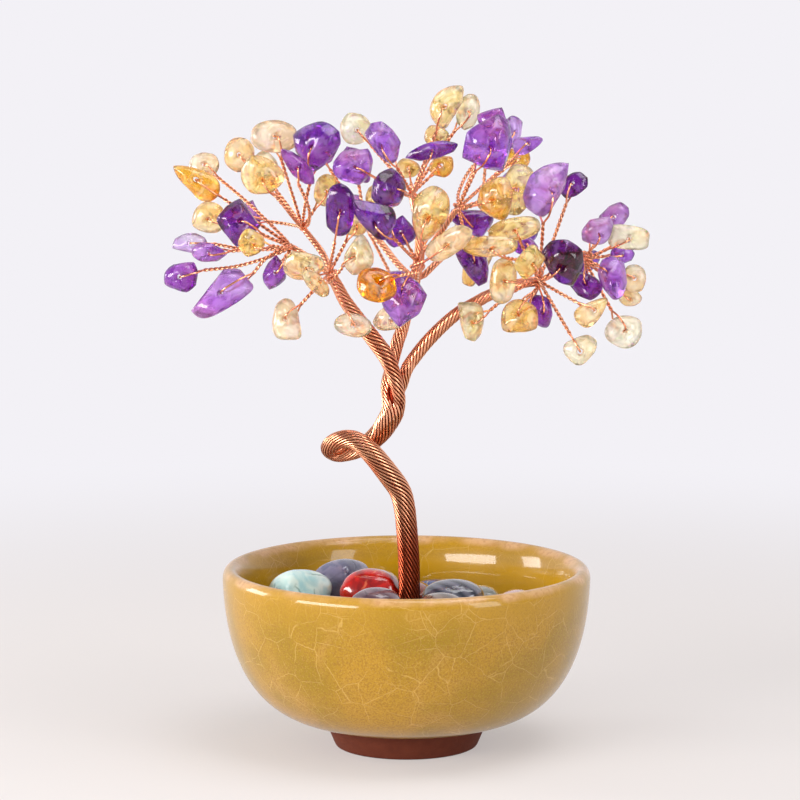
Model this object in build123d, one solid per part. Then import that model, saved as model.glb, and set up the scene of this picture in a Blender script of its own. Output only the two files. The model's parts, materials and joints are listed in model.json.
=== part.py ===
from build123d import *
from dataclasses import dataclass
import math
import os

# Gemstone tree ornament: a glazed clay bowl with tumbled stones, and a tree of twisted
# copper wire whose stems are threaded through drilled amethyst and citrine chips.
# Origin: centre of the foot's underside. +Z is up, -Y faces the viewer. Sizes in millimetres.

# Bowl
bowl_radius = 45.8
bowl_height = 45.6
bowl_wall = 5.8
lip_drop = 3.2
floor_height = 10.5
foot_radius = 18.0
foot_height = 6.4
foot_flare = 3.0
foot_ring_width = 4.2
foot_recess = 3.0
foot_edge = 0.6
glaze_step = 0.45

# Plaster and stones in the bowl
plaster_height = 31.0
plaster_gap = 0.3
stone_gap = 0.3
stone_height = 13.0

# Trunk, its root in the plaster and its pigtail loop
trunk_radius = 2.8
trunk_height = 83.9
loop_reach = 20.0
loop_depth = 3.2
root_gap = 0.3

# Fork: the three branches are laid round each other over this height
fork_lay = 10.0
fork_drift = 0.9

# Crown: half width, half depth, and height above the trunk's top
crown_reach = 61.0
crown_depth = 40.0
crown_rise = 84.0

# Bundles of wire
branch_radius = 2.1
twig_radius = 0.9
seat_gap = 0.25

# Wire of the stems, and the knot that each spray springs from
wire_radius = 0.28
stem_radius = 0.55
knot_radius = 1.75
stem_gap = 0.15
twist_clearance = 1.3
crotch_rise = 0.35

# Chips
chip_unit = 12.8
chip_gap = 0.35
hole_radius = 0.6
leg_clearance = 0.2

# Counts of lobes that the bundles show, their turns, and corners of a drilled hole
trunk_lobes = 8
branch_lobes = 5
twig_lobes = 4
trunk_turns = 3.0
branch_turns = 2.4
twig_turns = 0.6
hole_corners = 5
rim_steps = 48
span_steps = 2

# How deep the lobes of a bundle are, as a share of its radius
lay_depth_share = 0.15
# Control points of the bowl's belly, in shares of its radius and height
belly_shares = ((0.80, 0.175), (0.985, 0.44))
# Control points of the cavity, in shares of its radius and of the bowl's height
cavity_shares = ((1.0, 0.46), (0.80, 0.0))
cavity_floor_share = 0.40
lip_bulge_share = 4 / 3

# Outlines of pebbles: points round the edge, in shares of half the length and half the width
outline_shares = {
    "oval": (
        (1.00, 0.06), (0.72, 0.76), (-0.04, 1.00), (-0.74, 0.74),
        (-1.00, -0.08), (-0.70, -0.78), (0.06, -1.00), (0.74, -0.70),
    ),
    "hexagon": (
        (1.00, 0.24), (0.78, 0.88), (-0.44, 0.82), (-0.96, 0.16),
        (-0.92, -0.46), (-0.36, -0.82), (0.34, -1.00), (0.86, -0.52),
    ),
    "nugget": (
        (1.00, -0.12), (0.72, 0.42), (0.20, 0.84), (-0.52, 1.00),
        (-0.98, 0.34), (-0.94, -0.42), (-0.50, -0.94), (0.40, -0.84),
    ),
    "dome": (
        (1.00, -0.10), (0.80, 0.58), (0.20, 0.98), (-0.44, 0.90),
        (-0.86, 0.34), (-1.00, -0.62), (-0.10, -0.92), (0.70, -0.92),
    ),
    "cube": (
        (0.94, 0.00), (0.94, 0.90), (0.00, 0.97), (-0.90, 0.92),
        (-0.94, 0.04), (-0.96, -0.92), (0.00, -0.90), (0.92, -0.76),
    ),
    "boot": (
        (0.94, -0.58), (0.90, 0.38), (0.50, 1.00), (-0.26, 0.66),
        (-0.98, 0.36), (-0.94, -0.46), (-0.28, -0.80), (0.74, -1.00),
    ),
    "shield": (
        (0.98, 0.10), (0.92, 0.54), (0.40, 0.98), (-0.46, 0.68),
        (-1.00, 0.34), (-0.90, -0.24), (-0.16, -1.00), (0.42, -0.62),
    ),
    "fin": (
        (0.88, -0.10), (0.84, 0.52), (-0.18, 0.70), (-0.98, 0.84),
        (-0.98, 0.26), (-0.46, -0.42), (0.08, -0.96), (0.46, -1.00),
    ),
    "sail": (
        (0.80, 0.08), (0.98, 0.90), (0.00, 0.84), (-0.60, 0.48),
        (-0.94, -0.14), (-0.74, -0.60), (-0.10, -1.00), (0.34, -0.46),
    ),
    "gem": (
        (0.98, 0.06), (0.70, 0.46), (0.00, 0.90), (-0.88, 0.90),
        (-0.98, 0.08), (-0.76, -0.38), (-0.16, -1.00), (0.66, -0.58),
    ),
    "boulder": (
        (1.00, 0.00), (0.82, 0.76), (0.38, 1.00), (-0.32, 0.76),
        (-0.80, 0.46), (-0.98, -0.40), (-0.12, -0.82), (0.62, -0.96),
    ),
    "comma": (
        (0.92, 0.04), (0.50, 0.62), (-0.06, 0.96), (-0.62, 0.86),
        (-1.00, 0.40), (-0.30, -0.48), (0.30, -1.00), (0.78, -0.86),
    ),
    "pear": (
        (0.86, 0.04), (0.94, 0.60), (0.44, 0.96), (-0.34, 0.92),
        (-0.92, 0.50), (-0.94, -0.34), (-0.58, -1.00), (0.30, -0.62),
    ),
    "tooth": (
        (0.72, 0.00), (0.40, 0.80), (-0.24, 1.00), (-0.66, 0.60),
        (-0.90, -0.26), (-0.60, -0.86), (0.14, -0.94), (0.90, -0.92),
    ),
    "bean": (
        (1.00, -0.24), (0.90, 0.60), (0.22, 1.00), (-0.56, 0.86),
        (-1.00, 0.26), (-0.62, -0.40), (-0.04, -0.90), (0.54, -0.98),
    ),
    "drop": (
        (1.00, 0.16), (0.50, 0.60), (-0.10, 0.82), (-0.66, 0.98),
        (-1.00, 0.42), (-0.92, -0.50), (-0.50, -0.92), (0.24, -0.62),
    ),
    "capsule": (
        (1.00, -0.14), (0.86, 0.72), (0.20, 0.98), (-0.62, 0.88),
        (-1.00, 0.30), (-0.88, -0.66), (-0.14, -1.00), (0.70, -0.84),
    ),
    "leaf": (
        (1.00, 0.02), (0.58, 0.72), (-0.06, 1.00), (-0.70, 0.56),
        (-1.00, -0.04), (-0.50, -0.74), (0.16, -0.96), (0.74, -0.66),
    ),
}
# A pebble's shoulders, front and back: size as a share of the outline, height as a share
# of the thickness
shoulder_shares = ((0.72, 0.34), (0.68, -0.34))
# A chip's thickness as a share of its width, and the steps of its lean as shares of a half turn
thickness_share = 0.62
lean_shares = (0.0, 0.10, -0.06, 0.13, -0.12, 0.04, -0.09)
# How far a chip keeps its face to the viewer where its stem comes from in front or behind
face_share = 0.35
# Where a leg of the wire meets the chip's shoulder, as a share of the chip's edge
leg_share = 0.86

# Trunk: x in loop_reach, y in loop_depth, z in trunk_height, radius in trunk_radius
trunk_shares = (
    (0.035, 0.00, 0.167, 0.90),
    (0.035, 0.00, 0.310, 0.96),
    (0.035, 0.00, 0.457, 0.97),
    (0.030, 0.00, 0.556, 0.97),
    (0.005, 0.00, 0.646, 0.96),
    (-0.025, -0.03, 0.715, 0.97),
    (-0.080, -0.12, 0.765, 0.99),
    (-0.210, -0.42, 0.813, 1.00),
    (-0.450, -0.78, 0.886, 0.94),
    (-0.650, -0.90, 0.922, 0.84),
    (-0.850, -0.62, 0.919, 0.79),
    (-0.962, 0.16, 0.892, 0.78),
    (-0.860, 0.86, 0.872, 0.78),
    (-0.670, 1.02, 0.878, 0.80),
    (-0.490, 0.94, 0.899, 0.86),
    (-0.330, 0.72, 0.934, 0.94),
    (-0.245, 0.38, 0.965, 1.00),
    (-0.172, 0.09, 1.000, 1.03),
)

# Fork: where each branch starts round the trunk's end and how far it turns, in shares of a
# half turn, and the radius of its bundle at the start and the end of the lay, in branch_radius
fork_shares = {
    "left_branch": (-0.11, 0.68, 0.90),
    "centre_branch": (-0.78, 0.68, 0.76),
    "right_branch": (0.56, 0.68, 0.76),
}
fork_turn_share = -0.5
fork_spread_share = 1.2
fork_step_shares = (0.0, 0.33, 0.67, 1.0)
# The dome that closes a knot, and the thin end of a twig that springs from a knot
dome_shares = (0.45, 0.80, 0.97)
knot_end_share = 0.6
# Steps between the points of a bundle where stems are kept clear of it
fill_shares = (0.0, 0.25, 0.5, 0.75)

# Branches beyond the fork: x in crown_reach, y in crown_depth, z in crown_rise above the
# trunk's top, radius in branch_radius
branch_shares = {
    "left_branch": (
        (-0.084, -0.078, 0.171, 1.00),
        (-0.143, -0.085, 0.230, 0.98),
        (-0.198, -0.100, 0.283, 0.90),
        (-0.248, -0.125, 0.337, 0.80),
        (-0.279, -0.155, 0.382, 0.72),
        (-0.308, -0.195, 0.420, 0.62),
    ),
    "centre_branch": (
        (-0.036, 0.052, 0.205, 0.80),
        (-0.018, 0.064, 0.241, 0.77),
        (0.010, 0.078, 0.319, 0.74),
        (0.036, 0.100, 0.395, 0.70),
        (0.054, 0.125, 0.476, 0.62),
        (0.044, 0.148, 0.561, 0.55),
        (0.023, 0.150, 0.640, 0.50),
    ),
    "right_branch": (
        (0.022, 0.026, 0.150, 0.80),
        (0.097, 0.002, 0.219, 0.80),
        (0.195, -0.048, 0.289, 0.76),
        (0.275, -0.095, 0.327, 0.74),
        (0.334, -0.125, 0.352, 0.70),
        (0.454, -0.175, 0.387, 0.64),
        (0.530, -0.198, 0.396, 0.60),
    ),
}
# Twigs: the branch, which of its points they leave, the side they leave it on, and their
# path in the same shares as a branch's, with the radius in twig_radius
twig_shares = {
    "far_left_twig": ("left_branch", -1, (-0.77, 0.30, 0.57), (
        (-0.385, -0.150, 0.460, 1.00),
        (-0.459, -0.100, 0.491, 0.90),
    )),
    "upper_left_twig": ("left_branch", -1, (-0.10, 0.85, 0.52), (
        (-0.340, -0.020, 0.471, 1.00),
        (-0.421, 0.200, 0.536, 0.90),
    )),
    "front_twig": ("centre_branch", 2, (0.15, -0.98, 0.20), (
        (0.034, -0.050, 0.385, 1.00),
        (0.040, -0.175, 0.425, 1.00),
        (0.046, -0.300, 0.455, 0.90),
    )),
    "upper_right_twig": ("centre_branch", 4, (0.97, -0.20, 0.20), (
        (0.125, 0.045, 0.515, 1.00),
        (0.165, -0.060, 0.564, 1.00),
        (0.205, -0.150, 0.605, 0.90),
    )),
    "rear_left_twig": ("centre_branch", 3, (-0.55, 0.80, 0.10), (
        (-0.040, 0.260, 0.430, 1.00),
        (-0.107, 0.388, 0.486, 1.00),
        (-0.170, 0.500, 0.532, 0.90),
    )),
    "rear_right_twig": ("centre_branch", 3, (0.75, 0.62, 0.10), (
        (0.145, 0.255, 0.446, 1.00),
        (0.221, 0.388, 0.484, 1.00),
        (0.303, 0.500, 0.517, 0.90),
    )),
    "far_right_twig": ("right_branch", -1, (0.65, 0.72, 0.25), (
        (0.631, -0.025, 0.424, 1.00),
        (0.721, 0.150, 0.444, 0.90),
    )),
}
# Each spray of stems springs from the tip of one bundle
spray_bundles = {
    "far_left": "far_left_twig",
    "upper_left": "upper_left_twig",
    "mid_left": "left_branch",
    "top": "centre_branch",
    "upper_right": "upper_right_twig",
    "front": "front_twig",
    "right": "right_branch",
    "far_right": "far_right_twig",
    "rear_left": "rear_left_twig",
    "rear_right": "rear_right_twig",
}

# Tumbled stones: outline, x and y of the centre, length and width in shares of the cavity's
# radius, thickness in stone_height, and turn in shares of a half turn
stone_shares = {
    "aqua_stone": ("sail", -0.685, 0.030, 0.40, 0.50, 1.00, -0.08),
    "blue_grey_stone": ("shield", -0.400, 0.400, 0.44, 0.34, 1.00, 0.10),
    "carnelian_stone": ("dome", -0.228, 0.095, 0.42, 0.30, 1.00, 0.04),
    "plum_agate_stone": ("oval", -0.190, -0.240, 0.36, 0.28, 0.82, 0.00),
    "banded_agate_stone": ("capsule", 0.290, 0.085, 0.42, 0.30, 0.78, 0.04),
    "moss_agate_stone": ("nugget", 0.470, 0.400, 0.34, 0.28, 0.46, -0.25),
    "rose_stone": ("oval", 0.690, -0.075, 0.42, 0.30, 0.66, 0.45),
    "jade_stone": ("hexagon", -0.545, -0.500, 0.38, 0.30, 0.72, -0.22),
    "amber_stone": ("bean", -0.150, -0.665, 0.40, 0.30, 0.72, 0.04),
    "milk_quartz_stone": ("boulder", 0.262, -0.650, 0.38, 0.30, 0.70, 0.12),
    "smoky_stone": ("nugget", 0.215, -0.260, 0.34, 0.28, 0.72, 0.06),
    "jasper_stone": ("oval", 0.020, 0.420, 0.32, 0.28, 0.54, 0.05),
    "lapis_stone": ("boulder", 0.220, 0.720, 0.38, 0.28, 0.40, -0.10),
    "sand_stone": ("oval", 0.610, -0.465, 0.36, 0.28, 0.68, 0.28),
    "snow_stone": ("capsule", -0.220, 0.740, 0.38, 0.27, 0.60, 0.12),
}

# Chips of each spray: stone, outline, x in crown_reach, y in crown_depth, z in crown_rise
# above the trunk's top, length and width in chip_unit, and turn in shares of a half turn
chip_shares = {
    "far_left": (
        ("citrine", "drop", -0.843, -0.075, 0.687, 1.11, 0.62, 0.80),
        ("citrine", "oval", -0.822, 0.225, 0.720, 0.64, 0.54, 0.06),
        ("citrine", "dome", -0.800, 0.125, 0.569, 0.72, 0.66, 0.00),
        ("amethyst", "cube", -0.671, -0.200, 0.564, 0.70, 0.80, 0.21),
        ("citrine", "nugget", -0.612, -0.325, 0.513, 0.54, 0.62, 0.00),
        ("amethyst", "dome", -0.873, 0.100, 0.494, 0.72, 0.40, -0.03),
        ("amethyst", "nugget", -0.793, -0.075, 0.474, 0.72, 0.44, 0.00),
        ("amethyst", "hexagon", -0.911, -0.050, 0.403, 0.71, 0.65, 0.00),
        ("amethyst", "boot", -0.738, -0.275, 0.361, 1.31, 0.70, 0.23),
        ("amethyst", "shield", -0.530, -0.175, 0.420, 0.48, 0.68, 1.00),
    ),
    "upper_left": (
        ("citrine", "oval", -0.534, 0.100, 0.808, 1.05, 0.67, 0.00),
        ("amethyst", "shield", -0.358, -0.075, 0.786, 1.01, 1.05, 0.00),
        ("amethyst", "leaf", -0.434, -0.250, 0.730, 1.06, 0.37, -0.28),
        ("citrine", "nugget", -0.570, -0.225, 0.703, 0.90, 0.86, 0.00),
        ("citrine", "oval", -0.680, 0.225, 0.752, 0.70, 0.60, 0.44),
        ("citrine", "oval", -0.325, 0.100, 0.650, 0.68, 0.50, 0.47),
        ("citrine", "hexagon", -0.594, 0.475, 0.692, 0.82, 0.68, 0.33),
        ("amethyst", "cube", -0.669, 0.450, 0.555, 0.70, 0.56, 0.17),
    ),
    "mid_left": (
        ("citrine", "nugget", -0.402, -0.375, 0.449, 0.86, 0.64, 0.00),
        ("citrine", "capsule", -0.355, -0.550, 0.405, 0.72, 0.40, -0.08),
        ("citrine", "shield", -0.186, -0.600, 0.487, 0.60, 0.86, 1.00),
        ("amethyst", "capsule", -0.260, -0.550, 0.616, 1.09, 0.58, 0.50),
        ("citrine", "tooth", -0.477, -0.250, 0.287, 0.68, 0.84, 0.00),
        ("citrine", "oval", -0.212, -0.375, 0.276, 0.79, 0.48, -0.04),
        ("citrine", "hexagon", -0.205, -0.200, 0.561, 0.58, 0.50, 0.00),
        ("citrine", "nugget", -0.423, 0.250, 0.432, 0.70, 0.54, 0.00),
    ),
    "top": (
        ("amethyst", "hexagon", -0.216, -0.250, 0.730, 0.83, 0.75, 0.00),
        ("amethyst", "comma", -0.094, -0.100, 0.795, 0.75, 0.87, 0.00),
        ("citrine", "nugget", -0.200, 0.200, 0.826, 0.66, 0.68, 0.00),
        ("amethyst", "dome", -0.073, -0.400, 0.671, 0.92, 0.79, 0.00),
        ("citrine", "sail", 0.159, 0.050, 0.896, 0.74, 0.95, 0.00),
        ("citrine", "oval", 0.250, 0.250, 0.878, 0.76, 0.50, 0.44),
        ("citrine", "nugget", 0.124, 0.350, 0.805, 0.52, 0.45, 0.00),
        ("amethyst", "leaf", 0.101, -0.200, 0.774, 1.06, 0.40, 0.10),
        ("citrine", "hexagon", 0.140, 0.150, 0.719, 0.52, 0.47, 0.00),
        ("citrine", "nugget", 0.010, 0.350, 0.707, 0.52, 0.45, 0.00),
    ),
    "upper_right": (
        ("amethyst", "boulder", 0.319, -0.250, 0.793, 0.99, 1.13, 0.00),
        ("amethyst", "cube", 0.349, 0.100, 0.849, 0.56, 0.52, 0.10),
        ("amethyst", "capsule", 0.429, 0.300, 0.818, 0.66, 0.44, 0.42),
        ("amethyst", "drop", 0.491, -0.025, 0.787, 0.68, 0.42, 0.08),
        ("citrine", "oval", 0.452, 0.200, 0.741, 0.55, 0.44, 0.00),
        ("citrine", "capsule", 0.441, -0.150, 0.660, 1.06, 0.66, 0.42),
        ("citrine", "boulder", 0.349, -0.400, 0.642, 0.72, 0.90, 0.00),
        ("amethyst", "fin", 0.268, 0.050, 0.560, 0.90, 0.72, 0.00),
        ("amethyst", "comma", 0.263, -0.350, 0.451, 0.70, 0.84, 0.00),
    ),
    "front": (
        ("citrine", "oval", -0.118, -0.775, 0.410, 0.83, 0.73, 0.00),
        ("amethyst", "fin", -0.119, -0.600, 0.592, 0.91, 0.91, 0.00),
        ("amethyst", "shield", -0.026, -0.350, 0.543, 0.62, 0.66, 1.00),
        ("citrine", "pear", 0.096, -0.500, 0.597, 0.78, 1.17, 0.00),
        ("citrine", "capsule", 0.165, -0.675, 0.524, 1.14, 0.50, 0.20),
        ("amethyst", "gem", -0.014, -0.550, 0.365, 0.90, 1.21, 0.00),
        ("citrine", "hexagon", -0.062, -0.250, 0.293, 0.74, 0.56, 0.11),
    ),
    "right": (
        ("amethyst", "sail", 0.548, -0.300, 0.665, 0.99, 1.19, 0.00),
        ("amethyst", "capsule", 0.667, -0.075, 0.673, 0.60, 0.46, 0.16),
        ("citrine", "capsule", 0.423, -0.450, 0.555, 1.06, 0.50, 0.05),
        ("citrine", "oval", 0.330, -0.600, 0.513, 1.10, 0.46, 0.00),
        ("citrine", "capsule", 0.380, -0.450, 0.409, 0.91, 0.55, 0.47),
        ("citrine", "cube", 0.481, -0.525, 0.467, 0.62, 0.56, 0.22),
        ("citrine", "tooth", 0.257, -0.300, 0.284, 0.60, 0.82, 1.00),
        ("citrine", "dome", 0.447, -0.350, 0.301, 0.78, 0.70, 0.06),
        ("amethyst", "bean", 0.531, -0.150, 0.302, 0.56, 0.74, 0.06),
        ("amethyst", "bean", 0.613, -0.450, 0.461, 0.83, 0.98, 0.00),
        ("citrine", "drop", 0.744, -0.250, 0.313, 0.82, 0.50, 0.20),
        ("citrine", "shield", 0.693, -0.250, 0.194, 0.67, 0.66, 0.00),
        ("amethyst", "nugget", 0.479, 0.050, 0.490, 0.52, 0.44, 0.00),
        ("citrine", "oval", 0.465, 0.300, 0.286, 0.70, 0.54, 0.11),
    ),
    "far_right": (
        ("amethyst", "hexagon", 0.765, -0.050, 0.535, 0.66, 0.64, 0.00),
        ("amethyst", "capsule", 0.845, 0.225, 0.566, 0.66, 0.50, 0.22),
        ("citrine", "cube", 0.900, 0.075, 0.510, 0.82, 0.50, -0.04),
        ("amethyst", "bean", 0.821, -0.200, 0.404, 0.62, 1.00, 0.00),
        ("amethyst", "oval", 0.747, 0.425, 0.424, 0.60, 0.48, 0.44),
        ("amethyst", "capsule", 0.725, -0.100, 0.376, 0.66, 0.50, -0.20),
        ("citrine", "oval", 0.925, 0.150, 0.388, 0.60, 0.50, 0.44),
        ("citrine", "nugget", 0.921, 0.325, 0.324, 0.48, 0.42, 0.00),
        ("citrine", "hexagon", 0.873, -0.050, 0.241, 0.79, 0.72, 0.00),
        ("amethyst", "oval", 0.881, 0.275, 0.454, 0.52, 0.38, 0.00),
        ("citrine", "nugget", 0.643, 0.500, 0.421, 0.74, 0.60, -0.22),
    ),
    "rear_left": (
        ("amethyst", "nugget", -0.364, 0.500, 0.757, 0.88, 0.72, 0.11),
        ("amethyst", "shield", -0.236, 0.775, 0.562, 0.84, 0.72, 0.39),
        ("citrine", "oval", -0.094, 0.825, 0.609, 0.80, 0.66, 0.11),
        ("amethyst", "drop", -0.209, 0.650, 0.699, 0.90, 0.64, -0.28),
        ("amethyst", "hexagon", -0.019, 0.600, 0.314, 0.80, 0.68, 0.33),
    ),
    "rear_right": (
        ("citrine", "nugget", 0.334, 0.650, 0.759, 0.80, 0.68, 0.17),
        ("amethyst", "fin", 0.422, 0.675, 0.632, 0.90, 0.72, 0.39),
        ("citrine", "oval", 0.267, 0.875, 0.497, 0.86, 0.60, 0.06),
        ("amethyst", "cube", 0.466, 0.750, 0.490, 0.76, 0.56, -0.17),
        ("citrine", "boot", 0.280, 0.600, 0.405, 0.86, 0.58, 0.39),
        ("amethyst", "oval", 0.106, 0.750, 0.563, 0.84, 0.60, 0.33),
    ),
}

# Stems: the bows that are tried and the places of their control points, in shares of their length,
# where their corners lie, how far they widen, and how far the corner of a bend may stretch
bow_shares = (0.0, 0.10, -0.10, 0.20, -0.20, 0.32, -0.32, 0.46, -0.46)
approach_shares = (0.45, 0.30, 0.60)
stem_station_shares = (0.0, 0.2, 0.6, 1.0)
flare_share = 0.2
mitre_share = 0.5
settle_sweeps = 120


# Small vector sums on (x, y, z) tuples
def plus(a, b, factor=1):
    """The point a, moved by factor times b."""
    return (a[0] + b[0] * factor, a[1] + b[1] * factor, a[2] + b[2] * factor)


def dot(a, b):
    """The scalar product of two vectors."""
    return a[0] * b[0] + a[1] * b[1] + a[2] * b[2]


def cross(a, b):
    """The vector product of two vectors."""
    return (a[1] * b[2] - a[2] * b[1], a[2] * b[0] - a[0] * b[2], a[0] * b[1] - a[1] * b[0])


def distance(a, b):
    """How far two points lie apart."""
    return math.dist(a[:3], b[:3])


def unit(a):
    """The vector a at length 1."""
    size = math.sqrt(dot(a, a))
    return (a[0] / size, a[1] / size, a[2] / size)


def across(a, way):
    """The part of a square to a unit vector, at length 1."""
    return unit(plus(a, way, -dot(a, way)))


def turned(first, second, angle):
    """A unit vector in the plane of two, turned from the first towards the second."""
    return plus(plus((0, 0, 0), first, math.cos(angle)), second, math.sin(angle))


def half_turns(share):
    """An angle in radians from a share of a half turn."""
    return math.pi * share


# Faceted solids
def closed_solid(corner_lists):
    """One solid from the corners of its flat faces."""
    faces = [Face(Wire.make_polygon(corners, close=True)) for corners in corner_lists]
    solid = Solid(Shell(faces))
    return solid


def band(lower, upper):
    """Triangles between two rings with as many corners each."""
    triangles = []
    count = len(lower)
    for i in range(count):
        j = (i + 1) % count
        triangles.append((lower[i], lower[j], upper[j]))
        triangles.append((lower[i], upper[j], upper[i]))
    return triangles


def bearings(ring):
    """How far round each corner of a ring lies, and how far round the first one lies again."""
    angles = [math.atan2(y, x) for x, y, _ in ring]
    found = [angles[0]]
    for before, after in zip(angles, angles[1:] + angles[:1]):
        found.append(found[-1] + (after - before) % math.tau)
    return found


def annulus(inner, outer):
    """Triangles between a small ring and a large one round it, seen from above."""
    triangles = []
    inner_ways = bearings(inner)
    outer_ways = bearings(outer)
    i = 0
    j = 0
    while i < len(inner) or j < len(outer):
        near = inner[i % len(inner)]
        far = outer[j % len(outer)]
        if i == len(inner) or (j < len(outer) and outer_ways[j + 1] <= inner_ways[i + 1]):
            j += 1
            triangles.append((far, outer[j % len(outer)], near))
        else:
            i += 1
            triangles.append((near, far, inner[i % len(inner)]))
    return triangles


# Bowl, plaster and tumbled stones
def cavity_radius():
    """The bowl's inner radius under its lip."""
    return bowl_radius - bowl_wall


def cavity_curve(gap):
    """The bowl's inner wall from the lip down to the flat floor, moved inwards by a gap."""
    radius = cavity_radius() - gap
    (wall_r, wall_z), (floor_r, floor_z) = cavity_shares
    floor = floor_height + gap
    return Bezier(
        (radius, 0, bowl_height - lip_drop),
        (radius * wall_r, 0, bowl_height * wall_z),
        (radius * floor_r, 0, floor + bowl_height * floor_z),
        (radius * cavity_floor_share, 0, floor),
    )


def make_bowl():
    """The fired bowl: foot ring with its recess, full belly, rounded lip and inner wall."""
    foot_inner = foot_radius - foot_ring_width
    foot_top = foot_radius + foot_flare
    lip_low = bowl_height - lip_drop
    lip_high = lip_low + lip_drop * lip_bulge_share
    (low_r, low_z), (high_r, high_z) = belly_shares
    inner = cavity_curve(0)
    foot = Polyline(
        (0, 0, foot_recess),
        (foot_inner - foot_edge, 0, foot_recess),
        (foot_inner, 0, foot_edge),
        (foot_inner + foot_edge, 0, 0),
        (foot_radius - foot_edge, 0, 0),
        (foot_radius, 0, foot_edge),
        (foot_top - glaze_step, 0, foot_height),
        (foot_top, 0, foot_height),
    )
    belly = Bezier(
        (foot_top, 0, foot_height),
        (bowl_radius * low_r, 0, bowl_height * low_z),
        (bowl_radius * high_r, 0, bowl_height * high_z),
        (bowl_radius, 0, lip_low),
    )
    lip = Bezier(
        (bowl_radius, 0, lip_low),
        (bowl_radius, 0, lip_high),
        (cavity_radius(), 0, lip_high),
        (cavity_radius(), 0, lip_low),
    )
    floor = Line(inner @ 1, (0, 0, floor_height))
    axis = Line((0, 0, floor_height), (0, 0, foot_recess))
    profile = Face(Wire([*foot.edges(), belly, lip, inner, floor, axis]))
    return revolve(profile, Axis.Z)


def make_plaster():
    """The plaster cast in the bowl, level on top, with the socket that the trunk's root fills."""
    wall = cavity_curve(plaster_gap)
    floor = floor_height + plaster_gap
    top = bowl_height - lip_drop
    bottom = Line(wall @ 1, (0, 0, floor))
    axis = Line((0, 0, floor), (0, 0, top))
    closing = Line((0, 0, top), wall @ 0)
    body = revolve(Face(Wire([wall, bottom, axis, closing])), Axis.Z)
    body = split(body, Plane.XY.offset(plaster_height), keep=Keep.BOTTOM)
    root = trunk_points()[0]
    depth = plaster_height - root[2] + root_gap
    socket = Cylinder(trunk_radius + root_gap, depth, align=(Align.CENTER, Align.CENTER, Align.MIN))
    return body - Pos(root[0], root[1], root[2] - root_gap) * socket


def pebble_rings(outline, half):
    """A pebble's front shoulder, edge and back shoulder, in its own frame."""
    edge = [(half[0] * x, half[1] * y, 0) for x, y in outline]
    rings = [edge]
    for size, height in shoulder_shares:
        rings.append([(x * size, y * size, 2 * half[2] * height) for x, y, _ in edge])
    return rings[1], rings[0], rings[2]


def rim_reach(outline, half, angle):
    """How far a pebble's edge lies from its centre in a direction."""
    way = (math.cos(angle), math.sin(angle))
    reach = 0
    for (ax, ay), (bx, by) in zip(outline, outline[1:] + outline[:1]):
        a = (half[0] * ax, half[1] * ay)
        side = (half[0] * (bx - ax), half[1] * (by - ay))
        slant = way[0] * side[1] - way[1] * side[0]
        along = (a[0] * way[1] - a[1] * way[0]) / slant if slant else -1
        if 0 <= along <= 1:
            reach = max(reach, (a[0] * side[1] - a[1] * side[0]) / slant)
    return reach


def pebble_triangles(outline, half, hole=0):
    """Triangles of a pebble, drilled through its thickness where it has a hole."""
    front, edge, back = pebble_rings(outline, half)
    triangles = band(edge, front) + band(back, edge)
    if hole:
        holes = []
        for height in (half[2], -half[2]):
            ring = []
            for i in range(hole_corners):
                angle = 2 * math.pi * i / hole_corners
                ring.append((hole * math.cos(angle), hole * math.sin(angle), height))
            holes.append(ring)
        triangles += annulus(holes[0], front)
        triangles += [corners[::-1] for corners in annulus(holes[1], back)]
        triangles += band(holes[0], holes[1])
    else:
        top = (0, 0, half[2])
        bottom = (0, 0, -half[2])
        for i in range(len(edge)):
            j = (i + 1) % len(edge)
            triangles.append((front[i], front[j], top))
            triangles.append((back[j], back[i], bottom))
    return triangles


def placed(corners, centre, axes):
    """Corners of a piece's own frame, moved to its place."""
    out = []
    for x, y, z in corners:
        out.append(plus(plus(plus(centre, axes[0], x), axes[1], y), axes[2], z))
    return out


def make_stone(name):
    """One tumbled stone, lying on the plaster."""
    outline, x, y, length, width, thickness, turn = stone_shares[name]
    radius = cavity_radius()
    half = (radius * length / 2, radius * width / 2, stone_height * thickness / 2)
    centre = (radius * x, radius * y, plaster_height + stone_gap + half[2])
    long_axis = (math.cos(half_turns(turn)), math.sin(half_turns(turn)), 0)
    axes = (long_axis, (-long_axis[1], long_axis[0], 0), (0, 0, 1))
    triangles = pebble_triangles(outline_shares[outline], half)
    return closed_solid([placed(corners, centre, axes) for corners in triangles])


# Trunk, branches and twigs: bundles of wire with the lay of their strands
def smooth_line(points):
    """Points (x, y, z, radius) on a smooth line through the given ones."""
    ends = [points[0], *points, points[-1]]
    line = []
    for a, b, c, d in zip(ends, ends[1:], ends[2:], ends[3:]):
        for step in range(span_steps):
            t = step / span_steps
            point = []
            for p, q, r, s in zip(a, b, c, d):
                slope = (r - p) / 2
                next_slope = (s - q) / 2
                hump = q - r
                point.append(q + t * slope + t * t * (-3 * hump - 2 * slope - next_slope)
                             + t * t * t * (2 * hump + slope + next_slope))
            line.append(tuple(point))
    line.append(tuple(points[-1]))
    return line


def trunk_points():
    """The trunk's centre line and radii, from the root over the loop to the fork."""
    points = []
    for x, y, z, radius in trunk_shares:
        points.append((x * loop_reach, y * loop_depth, z * trunk_height, radius * trunk_radius))
    return points


def crown_point(x, y, z, radius, bundle_radius):
    """A point of a bundle from its shares of the crown's sizes."""
    return (x * crown_reach, y * crown_depth, trunk_height + z * crown_rise, radius * bundle_radius)


def trunk_end():
    """Where the trunk ends and the direction that it ends in."""
    line = smooth_line(trunk_points())
    return line[-1][:3], unit(plus(line[-1], line[-2], -1))


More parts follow.
